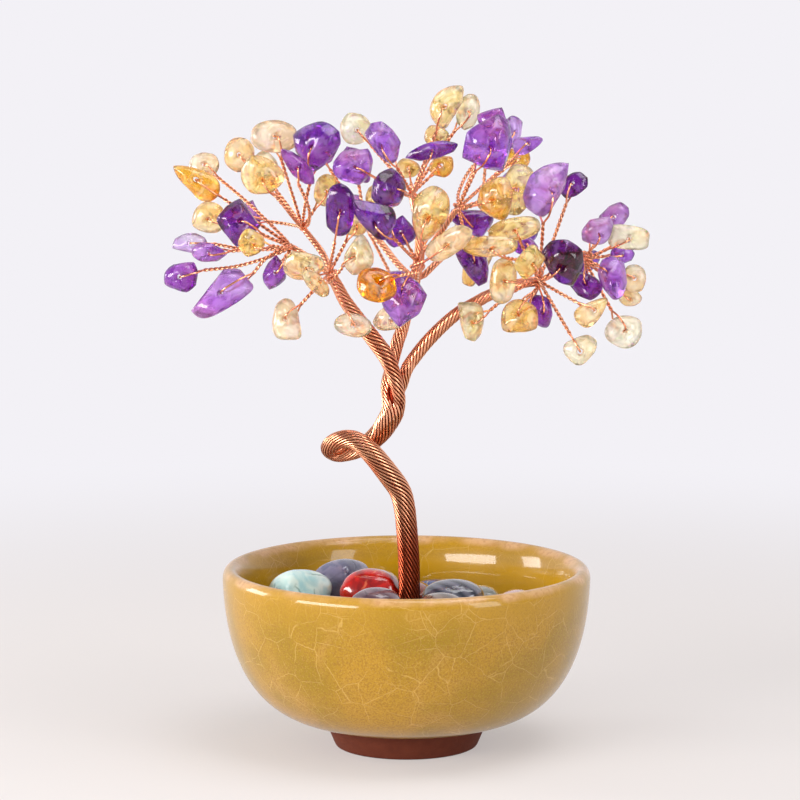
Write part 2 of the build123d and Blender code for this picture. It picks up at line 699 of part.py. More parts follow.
def fork_points(name):
    """How a branch is laid round the others, from the trunk's cut end to its own path."""
    start, first_radius, last_radius = fork_shares[name]
    end, way = trunk_end()
    seat = plus(end, way, seat_gap)
    points = []
    for share in fork_step_shares:
        radius = branch_radius * (first_radius + (last_radius - first_radius) * share)
        spread = (2 * radius + seat_gap) / math.sqrt(3)
        spread += (fork_spread_share - 1) * branch_radius * share
        upright = unit(plus(plus((0, 0, share), way), way, -share))
        first = across((1, 0, 0), upright)
        angle = half_turns(start + fork_turn_share * share)
        middle = plus(seat, (fork_drift, 0, fork_lay), share)
        point = plus(middle, turned(first, cross(upright, first), angle), spread)
        points.append((*point, radius))
    return points


def bundle_points(name):
    """The centre line and radii of a branch or a twig."""
    if name in branch_shares:
        rows = [crown_point(*row, branch_radius) for row in branch_shares[name]]
        return fork_points(name) + rows
    parent, index, side, rows = twig_shares[name]
    carrier = crown_point(*branch_shares[parent][index], branch_radius)
    reach = carrier[3] + twig_radius + seat_gap
    radius = twig_radius
    if index == -1:
        reach = knot_radius + seat_gap
        radius = twig_radius * knot_end_share
    start = plus(carrier, unit(side), reach)
    return [(*start, radius)] + [crown_point(*row, twig_radius) for row in rows]


def bundle_solid(line, lobes, turns, knot=0, start_way=None):
    """A twisted bundle with a lobed section, flat at its root; its tip may end in a knot."""
    stations = [point[:3] for point in line]
    radii = [point[3] for point in line]
    ways = []
    for i in range(len(stations)):
        before = stations[max(i - 1, 0)]
        after = stations[min(i + 1, len(stations) - 1)]
        ways.append(unit(plus(after, before, -1)))
    ways[0] = start_way or ways[0]
    if knot:
        tip = stations[-1]
        radii[-1] = knot
        for share in dome_shares:
            stations.append(plus(tip, ways[-1], knot * share))
            radii.append(knot * math.sqrt(1 - share * share))
            ways.append(ways[-1])
    length = 0
    normal = across((1, 0, 0), ways[0])
    whole = sum(distance(a, b) for a, b in zip(stations, stations[1:]))
    rings = []
    for i, (station, way, radius) in enumerate(zip(stations, ways, radii)):
        if i:
            length += distance(station, stations[i - 1])
        normal = across(normal, way)
        side = cross(way, normal)
        ring = []
        for corner in range(2 * lobes):
            angle = math.pi * corner / lobes - 2 * math.pi * turns * length / whole
            depth = radius * (1 - lay_depth_share * (corner % 2))
            ring.append(plus(station, turned(normal, side, angle), depth))
        rings.append(ring)
    faces = [rings[0][::-1], rings[-1]]
    for lower, upper in zip(rings, rings[1:]):
        faces += band(lower, upper)
    return closed_solid(faces)


def make_trunk():
    """The trunk with its pigtail loop."""
    return bundle_solid(smooth_line(trunk_points()), trunk_lobes, trunk_turns)


def make_bundle(name):
    """One branch or twig, with the knot at its tip."""
    line = smooth_line(bundle_points(name))
    if name in branch_shares:
        return bundle_solid(line, branch_lobes, branch_turns, knot_radius, trunk_end()[1])
    return bundle_solid(line, twig_lobes, twig_turns, knot_radius)


# Chips on their stems
@dataclass
class Chip:
    """A drilled chip: its spray and stone, its place and frame, and the knot it hangs from."""

    spray: str
    stone: str
    outline: tuple
    centre: tuple
    half: tuple
    knot: tuple
    axes: tuple
    stem_way: tuple
    rim: tuple

    def reach(self, x, y):
        """How far the chip's edge lies from its centre in a direction of its own frame."""
        turn = math.atan2(y, x) / math.tau
        return self.rim[round(turn * rim_steps) % rim_steps]

    def edge(self):
        """How far the chip's edge lies from its centre, towards its stem."""
        return self.reach(-dot(self.stem_way, self.axes[0]), -dot(self.stem_way, self.axes[1]))

    def legs(self):
        """Where the wire runs: stem top, front shoulder, over the hole, and back again."""
        through = self.axes[2]
        top = plus(self.centre, self.stem_way, -(self.edge() + twist_clearance))
        shoulder = 2 * self.half[2] * shoulder_shares[0][1] + leg_clearance + wire_radius
        over = self.half[2] + leg_clearance + wire_radius
        near = plus(self.centre, self.stem_way, -self.edge() * leg_share)
        return (
            top,
            plus(near, through, shoulder),
            plus(self.centre, through, over),
            plus(self.centre, through, -over),
            plus(near, through, -shoulder),
        )

    def probes(self):
        """Points all over the chip and its wire, from the centre."""
        corners = []
        for ring in pebble_rings(self.outline, self.half):
            corners += placed(ring, (0, 0, 0), self.axes)
        corners += [plus(point, self.centre, -1) for point in self.legs()]
        return corners

    def holds(self, point, gap):
        """Whether a point lies in the rounded form that the chip fills, grown by a gap."""
        away = plus(point, self.centre, -1)
        height = dot(away, self.axes[2]) / (self.half[2] + gap)
        if abs(height) > 1:
            return False
        x = dot(away, self.axes[0])
        y = dot(away, self.axes[1])
        return (math.hypot(x, y) / (self.reach(x, y) + gap)) ** 2 + height**2 < 1


def read_chips():
    """All chips at their places in the crown, before they are settled."""
    chips = []
    for spray, rows in chip_shares.items():
        knot = bundle_points(spray_bundles[spray])[-1][:3]
        for stone, outline, x, y, z, length, width, turn in rows:
            centre = crown_point(x, y, z, 0, 0)[:3]
            half = (chip_unit * length / 2, chip_unit * width / 2, chip_unit * width * thickness_share / 2)
            away = plus(centre, knot, -1)
            stem_way = unit((away[0], away[1] * face_share, away[2]))
            facing = across((0, -1, 0), stem_way)
            lean = half_turns(lean_shares[len(chips) % len(lean_shares)])
            through = turned(facing, cross(stem_way, facing), lean)
            flat = (math.cos(half_turns(turn)), 0, math.sin(half_turns(turn)))
            long_axis = across(flat, through)
            axes = (long_axis, cross(through, long_axis), through)
            shape = outline_shares[outline]
            rim = tuple(rim_reach(shape, half, math.tau * k / rim_steps) for k in range(rim_steps))
            chips.append(Chip(spray, stone, shape, centre, half, knot, axes, stem_way, rim))
    return chips


def filled(line):
    """The points of a line with more in between, so that no stem slips through."""
    points = []
    for a, b in zip(line, line[1:]):
        for share in fill_shares:
            points.append(tuple(p + (q - p) * share for p, q in zip(a, b)))
    return [*points, line[-1]]


def settle(chips, bundles):
    """Moves chips that crowd each other or a branch apart, along the line of sight only."""
    probes = [chip.probes() for chip in chips]
    reach = [max(chip.rim) + twist_clearance for chip in chips]
    for _ in range(settle_sweeps):
        moves = [0.0] * len(chips)
        for i, chip in enumerate(chips):
            for j in range(i):
                other = chips[j]
                if distance(chip.centre, other.centre) > reach[i] + reach[j]:
                    continue
                meet = any(other.holds(plus(chip.centre, probe), chip_gap) for probe in probes[i])
                meet = meet or any(chip.holds(plus(other.centre, probe), chip_gap) for probe in probes[j])
                if meet:
                    ahead = 1 if chip.centre[1] < other.centre[1] else -1
                    moves[i] -= ahead * chip_gap / 2
                    moves[j] += ahead * chip_gap / 2
            for point in bundles:
                if distance(point, chip.centre) < reach[i] + point[3]:
                    if chip.holds(point[:3], point[3] + chip_gap):
                        moves[i] += chip_gap if chip.centre[1] > point[1] else -chip_gap
        if not any(moves):
            break
        for chip, move in zip(chips, moves):
            chip.centre = plus(chip.centre, (0, move, 0))
    else:
        print("settle: chips still crowd each other", sum(1 for move in moves if move))


def curve_point(start, control, end, t):
    """A point on the bow from start to end that a control point draws."""
    point = plus((0, 0, 0), start, (1 - t) ** 2)
    point = plus(point, control, 2 * t * (1 - t))
    return plus(point, end, t * t)


def stem_curve(chip, approach, bow_side, bow_face):
    """Root, control point and top of a stem that bows by shares of its length."""
    top = chip.legs()[0]
    span = distance(top, chip.knot)
    control = plus(top, chip.stem_way, -approach * span)
    side = cross(chip.stem_way, chip.axes[2])
    control = plus(control, side, bow_side * span)
    control = plus(control, chip.axes[2], bow_face * span)
    root = plus(chip.knot, unit(plus(control, chip.knot, -1)), knot_radius + seat_gap)
    return root, control, top


def stem_width(t):
    """The stem's half width: a single wire at its root, a twisted pair from there on."""
    return wire_radius + (stem_radius - wire_radius) * min(t / flare_share, 1)


def stem_line(curve):
    """Points all along a stem with its half width."""
    steps = math.ceil(distance(curve[0], curve[2]) / stem_radius)
    return [(curve_point(*curve, k / steps), stem_width(k / steps)) for k in range(steps + 1)]


def crowd_count(line, chip, chips, bundles, laid):
    """How many points of a stem come too near to chips, bundles and stems laid before."""
    count = 0
    for point, radius in line:
        for other in chips:
            if other is not chip and distance(point, other.centre) < max(other.rim) + 2 * stem_radius:
                count += other.holds(point, radius + stem_gap)
        for part in bundles:
            count += distance(point, part) < part[3] + radius + stem_gap
        for part in laid:
            count += distance(point, part) < part[3] + radius + stem_gap
    return count


def route_stems(chips, bundles):
    """The curve of each stem: the gentlest bow that passes clear of everything."""
    curves = {}
    laid = []
    legs = [(*point, wire_radius) for chip in chips for point in chip.legs()[1:]]
    order = sorted(range(len(chips)), key=lambda k: distance(chips[k].centre, chips[k].knot))
    for k in order:
        chip = chips[k]
        own = chip.legs()
        others = laid + [leg for leg in legs if min(distance(leg, point) for point in own) > wire_radius]
        best = None
        bows = [(a, s, f) for a in approach_shares for s in bow_shares for f in bow_shares]
        bows.sort(key=lambda bow: bow[1] ** 2 + bow[2] ** 2)
        for approach, bow_side, bow_face in bows:
            curve = stem_curve(chip, approach, bow_side, bow_face)
            line = stem_line(curve)
            count = crowd_count(line, chip, chips, bundles, others)
            if best is None or count < best[0]:
                best = (count, curve, line)
            if count == 0:
                break
        if best[0]:
            print("route: crowded stem", k, chip.spray, chip.stone, best[0])
        curves[k] = best[1]
        laid += [(*point, radius) for point, radius in best[2]]
    return [curves[k] for k in range(len(chips))]


def stem_triangles(chip, curve):
    """A stem that parts into two legs, which meet in the chip's hole: one closed wire."""
    stations = [curve_point(*curve, t) for t in stem_station_shares]
    through = chip.axes[2]
    side = cross(chip.stem_way, through)
    rings = []
    normal = through
    for i in range(len(stations) - 1, -1, -1):
        before = stations[max(i - 1, 0)]
        after = stations[min(i + 1, len(stations) - 1)]
        way = chip.stem_way if i == len(stations) - 1 else unit(plus(after, before, -1))
        normal = across(normal, way)
        beside = cross(way, normal)
        width = stem_width(stem_station_shares[i])
        ring = []
        for corner in range(4):
            ring.append(plus(stations[i], turned(normal, beside, half_turns(corner / 2)), width))
        rings.insert(0, ring)
    faces = [rings[0][::-1]]
    for lower, upper in zip(rings, rings[1:]):
        faces += band(lower, upper)
    top_ring = rings[-1]
    crotch = plus(stations[-1], chip.stem_way, crotch_rise)
    legs = chip.legs()
    loop = [[top_ring[0], top_ring[1], crotch, top_ring[3]]]
    path = [legs[0], *legs[1:], legs[0]]
    for i in range(1, len(path) - 1):
        arrive = unit(plus(path[i], path[i - 1], -1))
        leave = unit(plus(path[i + 1], path[i], -1))
        bisector = unit(plus(arrive, leave))
        out = cross(side, bisector)
        stretch = wire_radius / max(dot(arrive, bisector), mitre_share)
        ring = [plus(path[i], out, stretch), plus(path[i], side, wire_radius)]
        ring += [plus(path[i], out, -stretch), plus(path[i], side, -wire_radius)]
        loop.append(ring)
    loop.append([top_ring[2], top_ring[1], crotch, top_ring[3]])
    for lower, upper in zip(loop, loop[1:]):
        faces += band(lower, upper)
    return faces


def make_chip(chip):
    """One drilled chip."""
    triangles = pebble_triangles(chip.outline, chip.half, hole_radius)
    return closed_solid([placed(corners, chip.centre, chip.axes) for corners in triangles])


def write(name, solids):
    """Writes one named piece, or one group of separate pieces, as a STEP file."""
    shape = solids[0] if len(solids) == 1 else Compound(children=solids)
    shape.label = name
    export_step(shape, os.path.join("parts", name + ".step"))


def main():
    """Builds every piece of the ornament."""
    os.makedirs("parts", exist_ok=True)
    write("bowl", [make_bowl()])
    write("plaster_fill", [make_plaster()])
    for name in stone_shares:
        write(name, [make_stone(name)])
    write("trunk", [make_trunk()])
    bundles = filled(smooth_line(trunk_points()))
    for name in [*branch_shares, *twig_shares]:
        write(name, [make_bundle(name)])
        bundles += filled(smooth_line(bundle_points(name)))
    chips = read_chips()
    settle(chips, bundles)
    curves = route_stems(chips, bundles)
    for spray in chip_shares:
        own = [k for k, chip in enumerate(chips) if chip.spray == spray]
        write(spray + "_stems", [closed_solid(stem_triangles(chips[k], curves[k])) for k in own])
        for stone in ("amethyst", "citrine"):
            solids = [make_chip(chips[k]) for k in own if chips[k].stone == stone]
            if solids:
                write(spray + "_" + stone + "_chips", solids)


main()
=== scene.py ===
import json
import logging
import math
import random
from dataclasses import dataclass, field
from enum import Enum
from itertools import combinations
from typing import Callable, Iterable, Optional, Sequence, Union

import bmesh
import bpy
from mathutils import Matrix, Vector
from mathutils.kdtree import KDTree

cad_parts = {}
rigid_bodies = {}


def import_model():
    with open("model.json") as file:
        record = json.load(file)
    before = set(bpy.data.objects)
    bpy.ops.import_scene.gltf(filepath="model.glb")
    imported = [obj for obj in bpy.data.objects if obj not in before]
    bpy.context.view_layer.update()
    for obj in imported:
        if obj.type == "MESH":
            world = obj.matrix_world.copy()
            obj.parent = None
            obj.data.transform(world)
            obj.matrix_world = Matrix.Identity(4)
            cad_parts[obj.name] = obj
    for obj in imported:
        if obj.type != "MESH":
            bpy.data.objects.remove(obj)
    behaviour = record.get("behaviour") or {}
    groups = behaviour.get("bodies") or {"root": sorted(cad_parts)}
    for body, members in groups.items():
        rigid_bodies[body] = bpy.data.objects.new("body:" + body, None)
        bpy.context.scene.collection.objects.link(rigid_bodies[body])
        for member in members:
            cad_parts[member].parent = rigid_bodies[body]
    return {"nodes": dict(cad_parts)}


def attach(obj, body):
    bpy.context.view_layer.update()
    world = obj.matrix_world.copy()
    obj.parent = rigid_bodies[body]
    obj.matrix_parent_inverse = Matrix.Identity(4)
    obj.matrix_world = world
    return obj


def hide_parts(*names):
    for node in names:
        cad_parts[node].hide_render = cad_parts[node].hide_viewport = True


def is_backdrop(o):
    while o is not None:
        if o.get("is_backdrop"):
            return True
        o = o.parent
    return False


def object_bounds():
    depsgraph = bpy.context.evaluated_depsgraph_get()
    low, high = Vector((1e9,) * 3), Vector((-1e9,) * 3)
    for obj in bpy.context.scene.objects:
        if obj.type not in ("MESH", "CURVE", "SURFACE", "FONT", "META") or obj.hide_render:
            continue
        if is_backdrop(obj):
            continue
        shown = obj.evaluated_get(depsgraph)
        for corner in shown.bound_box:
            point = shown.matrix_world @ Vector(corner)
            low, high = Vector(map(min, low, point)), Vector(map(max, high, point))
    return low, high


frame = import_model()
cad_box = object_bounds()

# Gemstone tree ornament. Lengths in the classes are in millimetres; meshes are in metres.
MM = 0.001
# Corners closer than this are one
TOUCHING = 0.001 * MM
log = logging.getLogger("gemstone_tree")
Colour = tuple[float, float, float]
Place = tuple[float, float, float]
Rows = tuple[tuple[float, ...], ...]
Piece = bpy.types.Object
Material = bpy.types.Material
Socket = bpy.types.NodeSocket


def light(paint: Colour) -> tuple[float, ...]:
    """Turns a paint-chart colour, of 0 to 255 a channel, into linear light with a full alpha."""
    shares = (channel / 255 for channel in paint)
    return *(c / 12.92 if c <= 10 / 255 else ((c + 0.055) / 1.055) ** 2.4 for c in shares), 1.0


# Workshop: adding, copying and finishing meshes


def added(name: str, operator: Callable, **settings: object) -> Piece:
    """Adds an object by one of Blender's add operators, with nothing else selected.

    Args:
        name: the object's name.
        operator: the operator that adds it.
        settings: the operator's own settings.

    Returns:
        The object.
    """
    bpy.ops.object.select_all(action="DESELECT")
    operator(**settings)
    piece = bpy.context.view_layer.objects.active
    piece.name = name
    return piece


def alone(*pieces: Piece) -> None:
    """Selects only these pieces and makes the first one active.

    Args:
        pieces: the objects to select.
    """
    bpy.ops.object.select_all(action="DESELECT")
    for piece in pieces:
        piece.select_set(True)
    bpy.context.view_layer.objects.active = pieces[0]


def modify(piece: Piece, kind: str, **settings: object) -> None:
    """Adds a modifier to a piece and applies it.

    Args:
        piece: the mesh to change.
        kind: the modifier's type.
        settings: the modifier's own settings.
    """
    alone(piece)
    bpy.ops.object.modifier_add(type=kind)
    modifier = piece.modifiers[-1]
    for name, value in settings.items():
        setattr(modifier, name, value)
    bpy.ops.object.modifier_apply(modifier=modifier.name)


def rounded(piece: Piece, levels: int) -> None:
    """Softens a piece with a subdivision surface of so many levels."""
    modify(piece, "SUBSURF", levels=levels, render_levels=levels)


def uneven(piece: Piece, size: float, strength: float) -> None:
    """Pushes a surface in and out a little, as hand work or tumbling leaves it.

    Args:
        piece: the mesh to change.
        size: how wide the hollows are, in millimetres.
        strength: how deep they are, in millimetres.
    """
    clouds = bpy.data.textures.new(piece.name + "_hollows", "CLOUDS")
    clouds.noise_scale = size * MM
    settings = {"texture": clouds, "texture_coords": "LOCAL", "mid_level": 0.5}
    modify(piece, "DISPLACE", strength=strength * MM, **settings)


@dataclass(frozen=True)
class Wear:
    """What a tumbling drum does to a cut stone; hollows are in millimetres."""

    swell: float
    keen: tuple[float, float]
    hollow_size: float
    hollow_depth: float


def tumbled(piece: Piece, wear: Wear) -> None:
    """Wears down cut pieces as a tumbling drum does, some edges more than others.

    Args:
        piece: one or more cut pieces in one mesh.
        wear: how much each swells first, to make up for what the wear takes, the least and the
            greatest keenness that an edge keeps, and the hollows in the surface.
    """
    mesh = piece.data
    dice = random.Random(piece.name)
    for part in loose_parts(piece):
        middle = sum((mesh.vertices[v].co for v in part), Vector()) / len(part)
        for v in part:
            mesh.vertices[v].co = middle.lerp(mesh.vertices[v].co, wear.swell)
    creases = mesh.attributes.new("crease_edge", "FLOAT", "EDGE")
    for edge in creases.data:
        edge.value = max(0.0, dice.uniform(*wear.keen))
    rounded(piece, 2)
    uneven(piece, wear.hollow_size, wear.hollow_depth)
    rounded(piece, 1)
    smooth(piece, 80)


def copied(node: str, name: str) -> Piece:
    """Copies a CAD node as the start of a new piece, with its loose triangles joined up.

    Args:
        node: the CAD node's name.
        name: the new piece's name.

    Returns:
        The copy, which rides on nothing yet.
    """
    alone(frame["nodes"][node])
    bpy.ops.object.duplicate()
    piece = bpy.context.view_layer.objects.active
    bpy.ops.object.parent_clear(type="CLEAR_KEEP_TRANSFORM")
    for key in list(piece.keys()):
        del piece[key]
    piece.name = name
    piece.data.name = name
    bpy.ops.object.mode_set(mode="EDIT")
    bpy.ops.mesh.select_all(action="SELECT")
    bpy.ops.mesh.remove_doubles(threshold=TOUCHING)
    bpy.ops.object.mode_set(mode="OBJECT")
    return piece


def loose_parts(piece: Piece) -> list[list[int]]:
    """Lists the vertices of each separate part of a mesh, from left to right.

    Args:
        piece: the mesh to look through.

    Returns:
        One list of vertex numbers for each part.
    """
    joined: dict[int, list[int]] = {v.index: [] for v in piece.data.vertices}
    for edge in piece.data.edges:
        a, b = edge.vertices
        joined[a].append(b)
        joined[b].append(a)
    parts: list[list[int]] = []
    left = set(joined)
    while left:
        part = [left.pop()]
        for vertex in part:
            for other in joined[vertex]:
                if other in left:
                    left.remove(other)
                    part.append(other)
        parts.append(part)
    places = piece.data.vertices
    return sorted(parts, key=lambda part: sum(places[v].co.x for v in part) / len(part))


def coat(piece: Piece, material: Material) -> None:
    """Covers a piece all over with one material."""
    piece.data.materials.clear()
    piece.data.materials.append(material)


def dress(piece: Piece, material: Material, slot: str, *nodes: str) -> None:
    """Gives a finished piece its material and its place in the frame.

    Args:
        piece: the finished piece.
        material: what it is made of.
        slot: the record's material slot; not used.
        nodes: the CAD nodes that it stands for.
    """
    coat(piece, material)
    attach(piece, "root")
    if nodes:
        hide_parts(*nodes)
    log.info("%s: %d faces", piece.name, len(piece.data.polygons))


def smooth(piece: Piece, degrees: float = 60) -> None:
    """Shades a piece smooth, apart from edges sharper than so many degrees."""
    alone(piece)
    bpy.ops.object.shade_smooth_by_angle(angle=math.radians(degrees))


# Finishes: materials laid out as nodes


def maths(operation: str, turned: bool = False) -> Callable[["Level", "Number"], "Level"]:
    """Makes an operator that adds a Math node.

    Args:
        operation: what the node does.
        turned: whether the other value stands first.

    Returns:
        The operator, for a level and another value.
    """

    def operator(level: "Level", other: "Number") -> "Level":
        """Adds the node for this level and another value."""
        values = (other, level) if turned else (level, other)
        node = level.bench.add("ShaderNodeMath", {"operation": operation}, dict(enumerate(values)))
        return Level(level.bench, node.outputs[0])

    return operator


class Level:
    """A number that varies over a surface; sums of it add Math nodes."""

    def __init__(self, bench: "Bench", socket: Socket) -> None:
        """Wraps a socket of a bench's material."""
        self.bench = bench
        self.socket = socket

    __add__, __radd__ = maths("ADD"), maths("ADD", turned=True)
    __sub__, __rsub__ = maths("SUBTRACT"), maths("SUBTRACT", turned=True)
    __mul__, __rmul__ = maths("MULTIPLY"), maths("MULTIPLY", turned=True)
    __pow__ = maths("POWER")
    # The greater of two values
    most = maths("MAXIMUM")

    def rise(self, low: float, high: float) -> "Level":
        """A soft step from 0 at low to 1 at high, or the other way round."""
        sockets = {"Value": self, "From Min": low, "From Max": high}
        node = self.bench.add("ShaderNodeMapRange", {"interpolation_type": "SMOOTHSTEP"}, sockets)
        return Level(self.bench, node.outputs[0])


Number = Union[float, Level]
Source = Union[float, Sequence[float], Level, Socket]
Stops = Sequence[tuple[float, Colour]]


@dataclass
class Bench:
    """The node tree of one material, with the few nodes that the finishes use.

    Patterns follow the points of the piece, and their sizes are in millimetres.
    """

    material: Material

    @classmethod
    def named(cls, name: str) -> "Bench":
        """Starts an empty material of that name."""
        material = bpy.data.materials.new(name)
        material.use_nodes = True
        material.node_tree.nodes.clear()
        return cls(material)

    def add(
        self, kind: str, settings: Optional[dict] = None, sockets: Optional[dict] = None
    ) -> bpy.types.Node:
        """Adds any node.

        Args:
            kind: the node's type.
            settings: its own settings, and the stops of a ramp.
            sockets: values or links of its inputs, by name or number.

        Returns:
            The node.
        """
        tree = self.material.node_tree
        node = tree.nodes.new(kind)
        for key, value in (settings or {}).items():
            if key == "stops":
                self._set_stops(node.color_ramp.elements, value)
            else:
                setattr(node, key, value)
        for key, value in (sockets or {}).items():
            source = value.socket if isinstance(value, Level) else value
            if isinstance(source, Socket):
                tree.links.new(source, node.inputs[key])
            elif node.inputs[key].type == "RGBA":
                node.inputs[key].default_value = light(source)
            else:
                node.inputs[key].default_value = source
        return node

    @staticmethod
    def _set_stops(elements: bpy.types.ColorRampElements, stops: Stops) -> None:
        """Sets a ramp's stops, from first to last."""
        while len(elements) < len(stops):
            elements.new(1.0)
        for element, (place, colour) in zip(elements, stops):
            element.position = place
            element.color = light(colour)

    def place(self, kind: str = "Object") -> Socket:
        """The point on the piece, in metres, or the way looked in for the world's Generated."""
        return self.add("ShaderNodeTexCoord").outputs[kind]

    def axes(self, spot: Socket) -> tuple[Level, Level, Level]:
        """The three parts of a point or colour."""
        node = self.add("ShaderNodeSeparateXYZ", None, {0: spot})
        return tuple(Level(self, socket) for socket in node.outputs)

    def upright(self) -> tuple[Level, Level]:
        """How far a point lies from the object's upright axis, and how high, in metres."""
        x, y, z = self.axes(self.place())
        return (x * x + y * y) ** 0.5, z

    def pattern(
        self,
        kind: str,
        size: float,
        spot: Optional[Socket] = None,
        way: Optional[dict] = None,
        **more: float,
    ) -> bpy.types.Node:
        """Adds a texture.

        Args:
            kind: its name in the node's type.
            size: how wide its cells or clouds are.
            spot: the point to look at, if not the point on the piece.
            way: the node's own settings.
            more: the values of its other sockets.

        Returns:
            The texture's node.
        """
        sockets = {"Vector": spot or self.place(), "Scale": 1 / (size * MM), **more}
        return self.add("ShaderNodeTex" + kind, way, sockets)

    def noise(self, size: float, detail: float = 2.0, twist: float = 0.0) -> Level:
        """Clouds near one half, with finer layers, and twisted."""
        node = self.pattern("Noise", size, Detail=detail, Distortion=twist)
        return Level(self, node.outputs[0])

    def patches(
        self, size: float, low: float, high: float, detail: float = 1.0, twist: float = 0.0
    ) -> Level:
        """Clouds that rise softly from 0 to 1 between two levels."""
        return self.noise(size, detail, twist).rise(low, high)

    def moved(self, operation: str, sockets: dict) -> Socket:
        """Adds a Vector Math node."""
        return self.add("ShaderNodeVectorMath", {"operation": operation}, sockets).outputs[0]

    def stirred(self, size: float, reach: float) -> Socket:
        """The point on the piece, moved about by clouds of a size, by up to a reach."""
        clouds = self.pattern("Noise", size, Detail=3.0).outputs[1]
        centred = self.moved("SUBTRACT", {0: clouds, 1: (0.5, 0.5, 0.5)})
        away = self.moved("SCALE", {0: centred, "Scale": 2 * reach * MM})
        return self.moved("ADD", {0: self.place(), 1: away})

    def cracks(self, stir: tuple[float, float], size: float, width: float) -> Level:
        """1 on stirred lines of a width between cells of a size, and 0 off them."""
        way = {"feature": "DISTANCE_TO_EDGE"}
        node = self.pattern("Voronoi", size, self.stirred(*stir), way)
        return Level(self, node.outputs[0]).rise(width / size, width / size / 3)

    def shards(self, stir: tuple[float, float], size: float) -> Level:
        """Stirred patches, each with a level of its own."""
        return self.axes(self.pattern("Voronoi", size, self.stirred(*stir)).outputs["Color"])[0]

    def bands(self, size: float, twist: float) -> Level:
        """Wavy, twisted bands."""
        way = {"bands_direction": "DIAGONAL"}
        node = self.pattern("Wave", size / 0.3, None, way, Distortion=twist, Detail=2.0)
        return Level(self, node.outputs[1])

    def rays(self, *kinds: str) -> list[Level]:
        """1 where the light path is a ray of each kind, and 0 elsewhere."""
        outputs = self.add("ShaderNodeLightPath").outputs
        return [Level(self, outputs[f"Is {kind} Ray"]) for kind in kinds]

    def rim(self) -> Level:
        """0 where the surface faces the eye and 1 where it turns away."""
        weight = self.add("ShaderNodeLayerWeight", None, {"Blend": 0.5})
        return Level(self, weight.outputs["Facing"])

    def own(self, name: str) -> Level:
        """A value that the piece's own mesh carries."""
        return Level(self, self.add("ShaderNodeAttribute", {"attribute_name": name}).outputs["Fac"])

    def blend(self, share: Number, first: Source, second: Source, way: str = "MIX") -> Socket:
        """Mixes two colours by a share of the second, in a way that the Mix node has."""
        settings = {"data_type": "RGBA", "blend_type": way}
        return self.add("ShaderNodeMix", settings, {0: share, 6: first, 7: second}).outputs[2]

    def ramp(self, level: Level, stops: Stops) -> Socket:
        """The colour of a level on a ramp of stops."""
        return self.add("ShaderNodeValToRGB", {"stops": stops}, {0: level}).outputs[0]

    def bump(self, height: Level, depth: float, strength: float = 1.0) -> Socket:
        """Makes a height of 0 to 1 stand up by a depth in millimetres."""
        sockets = {"Height": height, "Distance": depth * MM, "Strength": strength}
        return self.add("ShaderNodeBump", None, sockets).outputs[0]

    def surface(self, **sockets: Source) -> Socket:
        """A Principled surface; an underscore in a socket's name stands for a space."""
        named = {key.replace("_", " "): value for key, value in sockets.items()}
        return self.add("ShaderNodeBsdfPrincipled", None, named).outputs[0]

    def between(self, share: Number, first: Socket, second: Socket) -> Socket:
        """Mixes two surfaces by a share of the second."""
        return self.add("ShaderNodeMixShader", None, {0: share, 1: first, 2: second}).outputs[0]

    def done(self, surface: Socket) -> Material:
        """Puts a surface on the material and returns it."""
        self.add("ShaderNodeOutputMaterial", None, {0: surface})
        return self.material


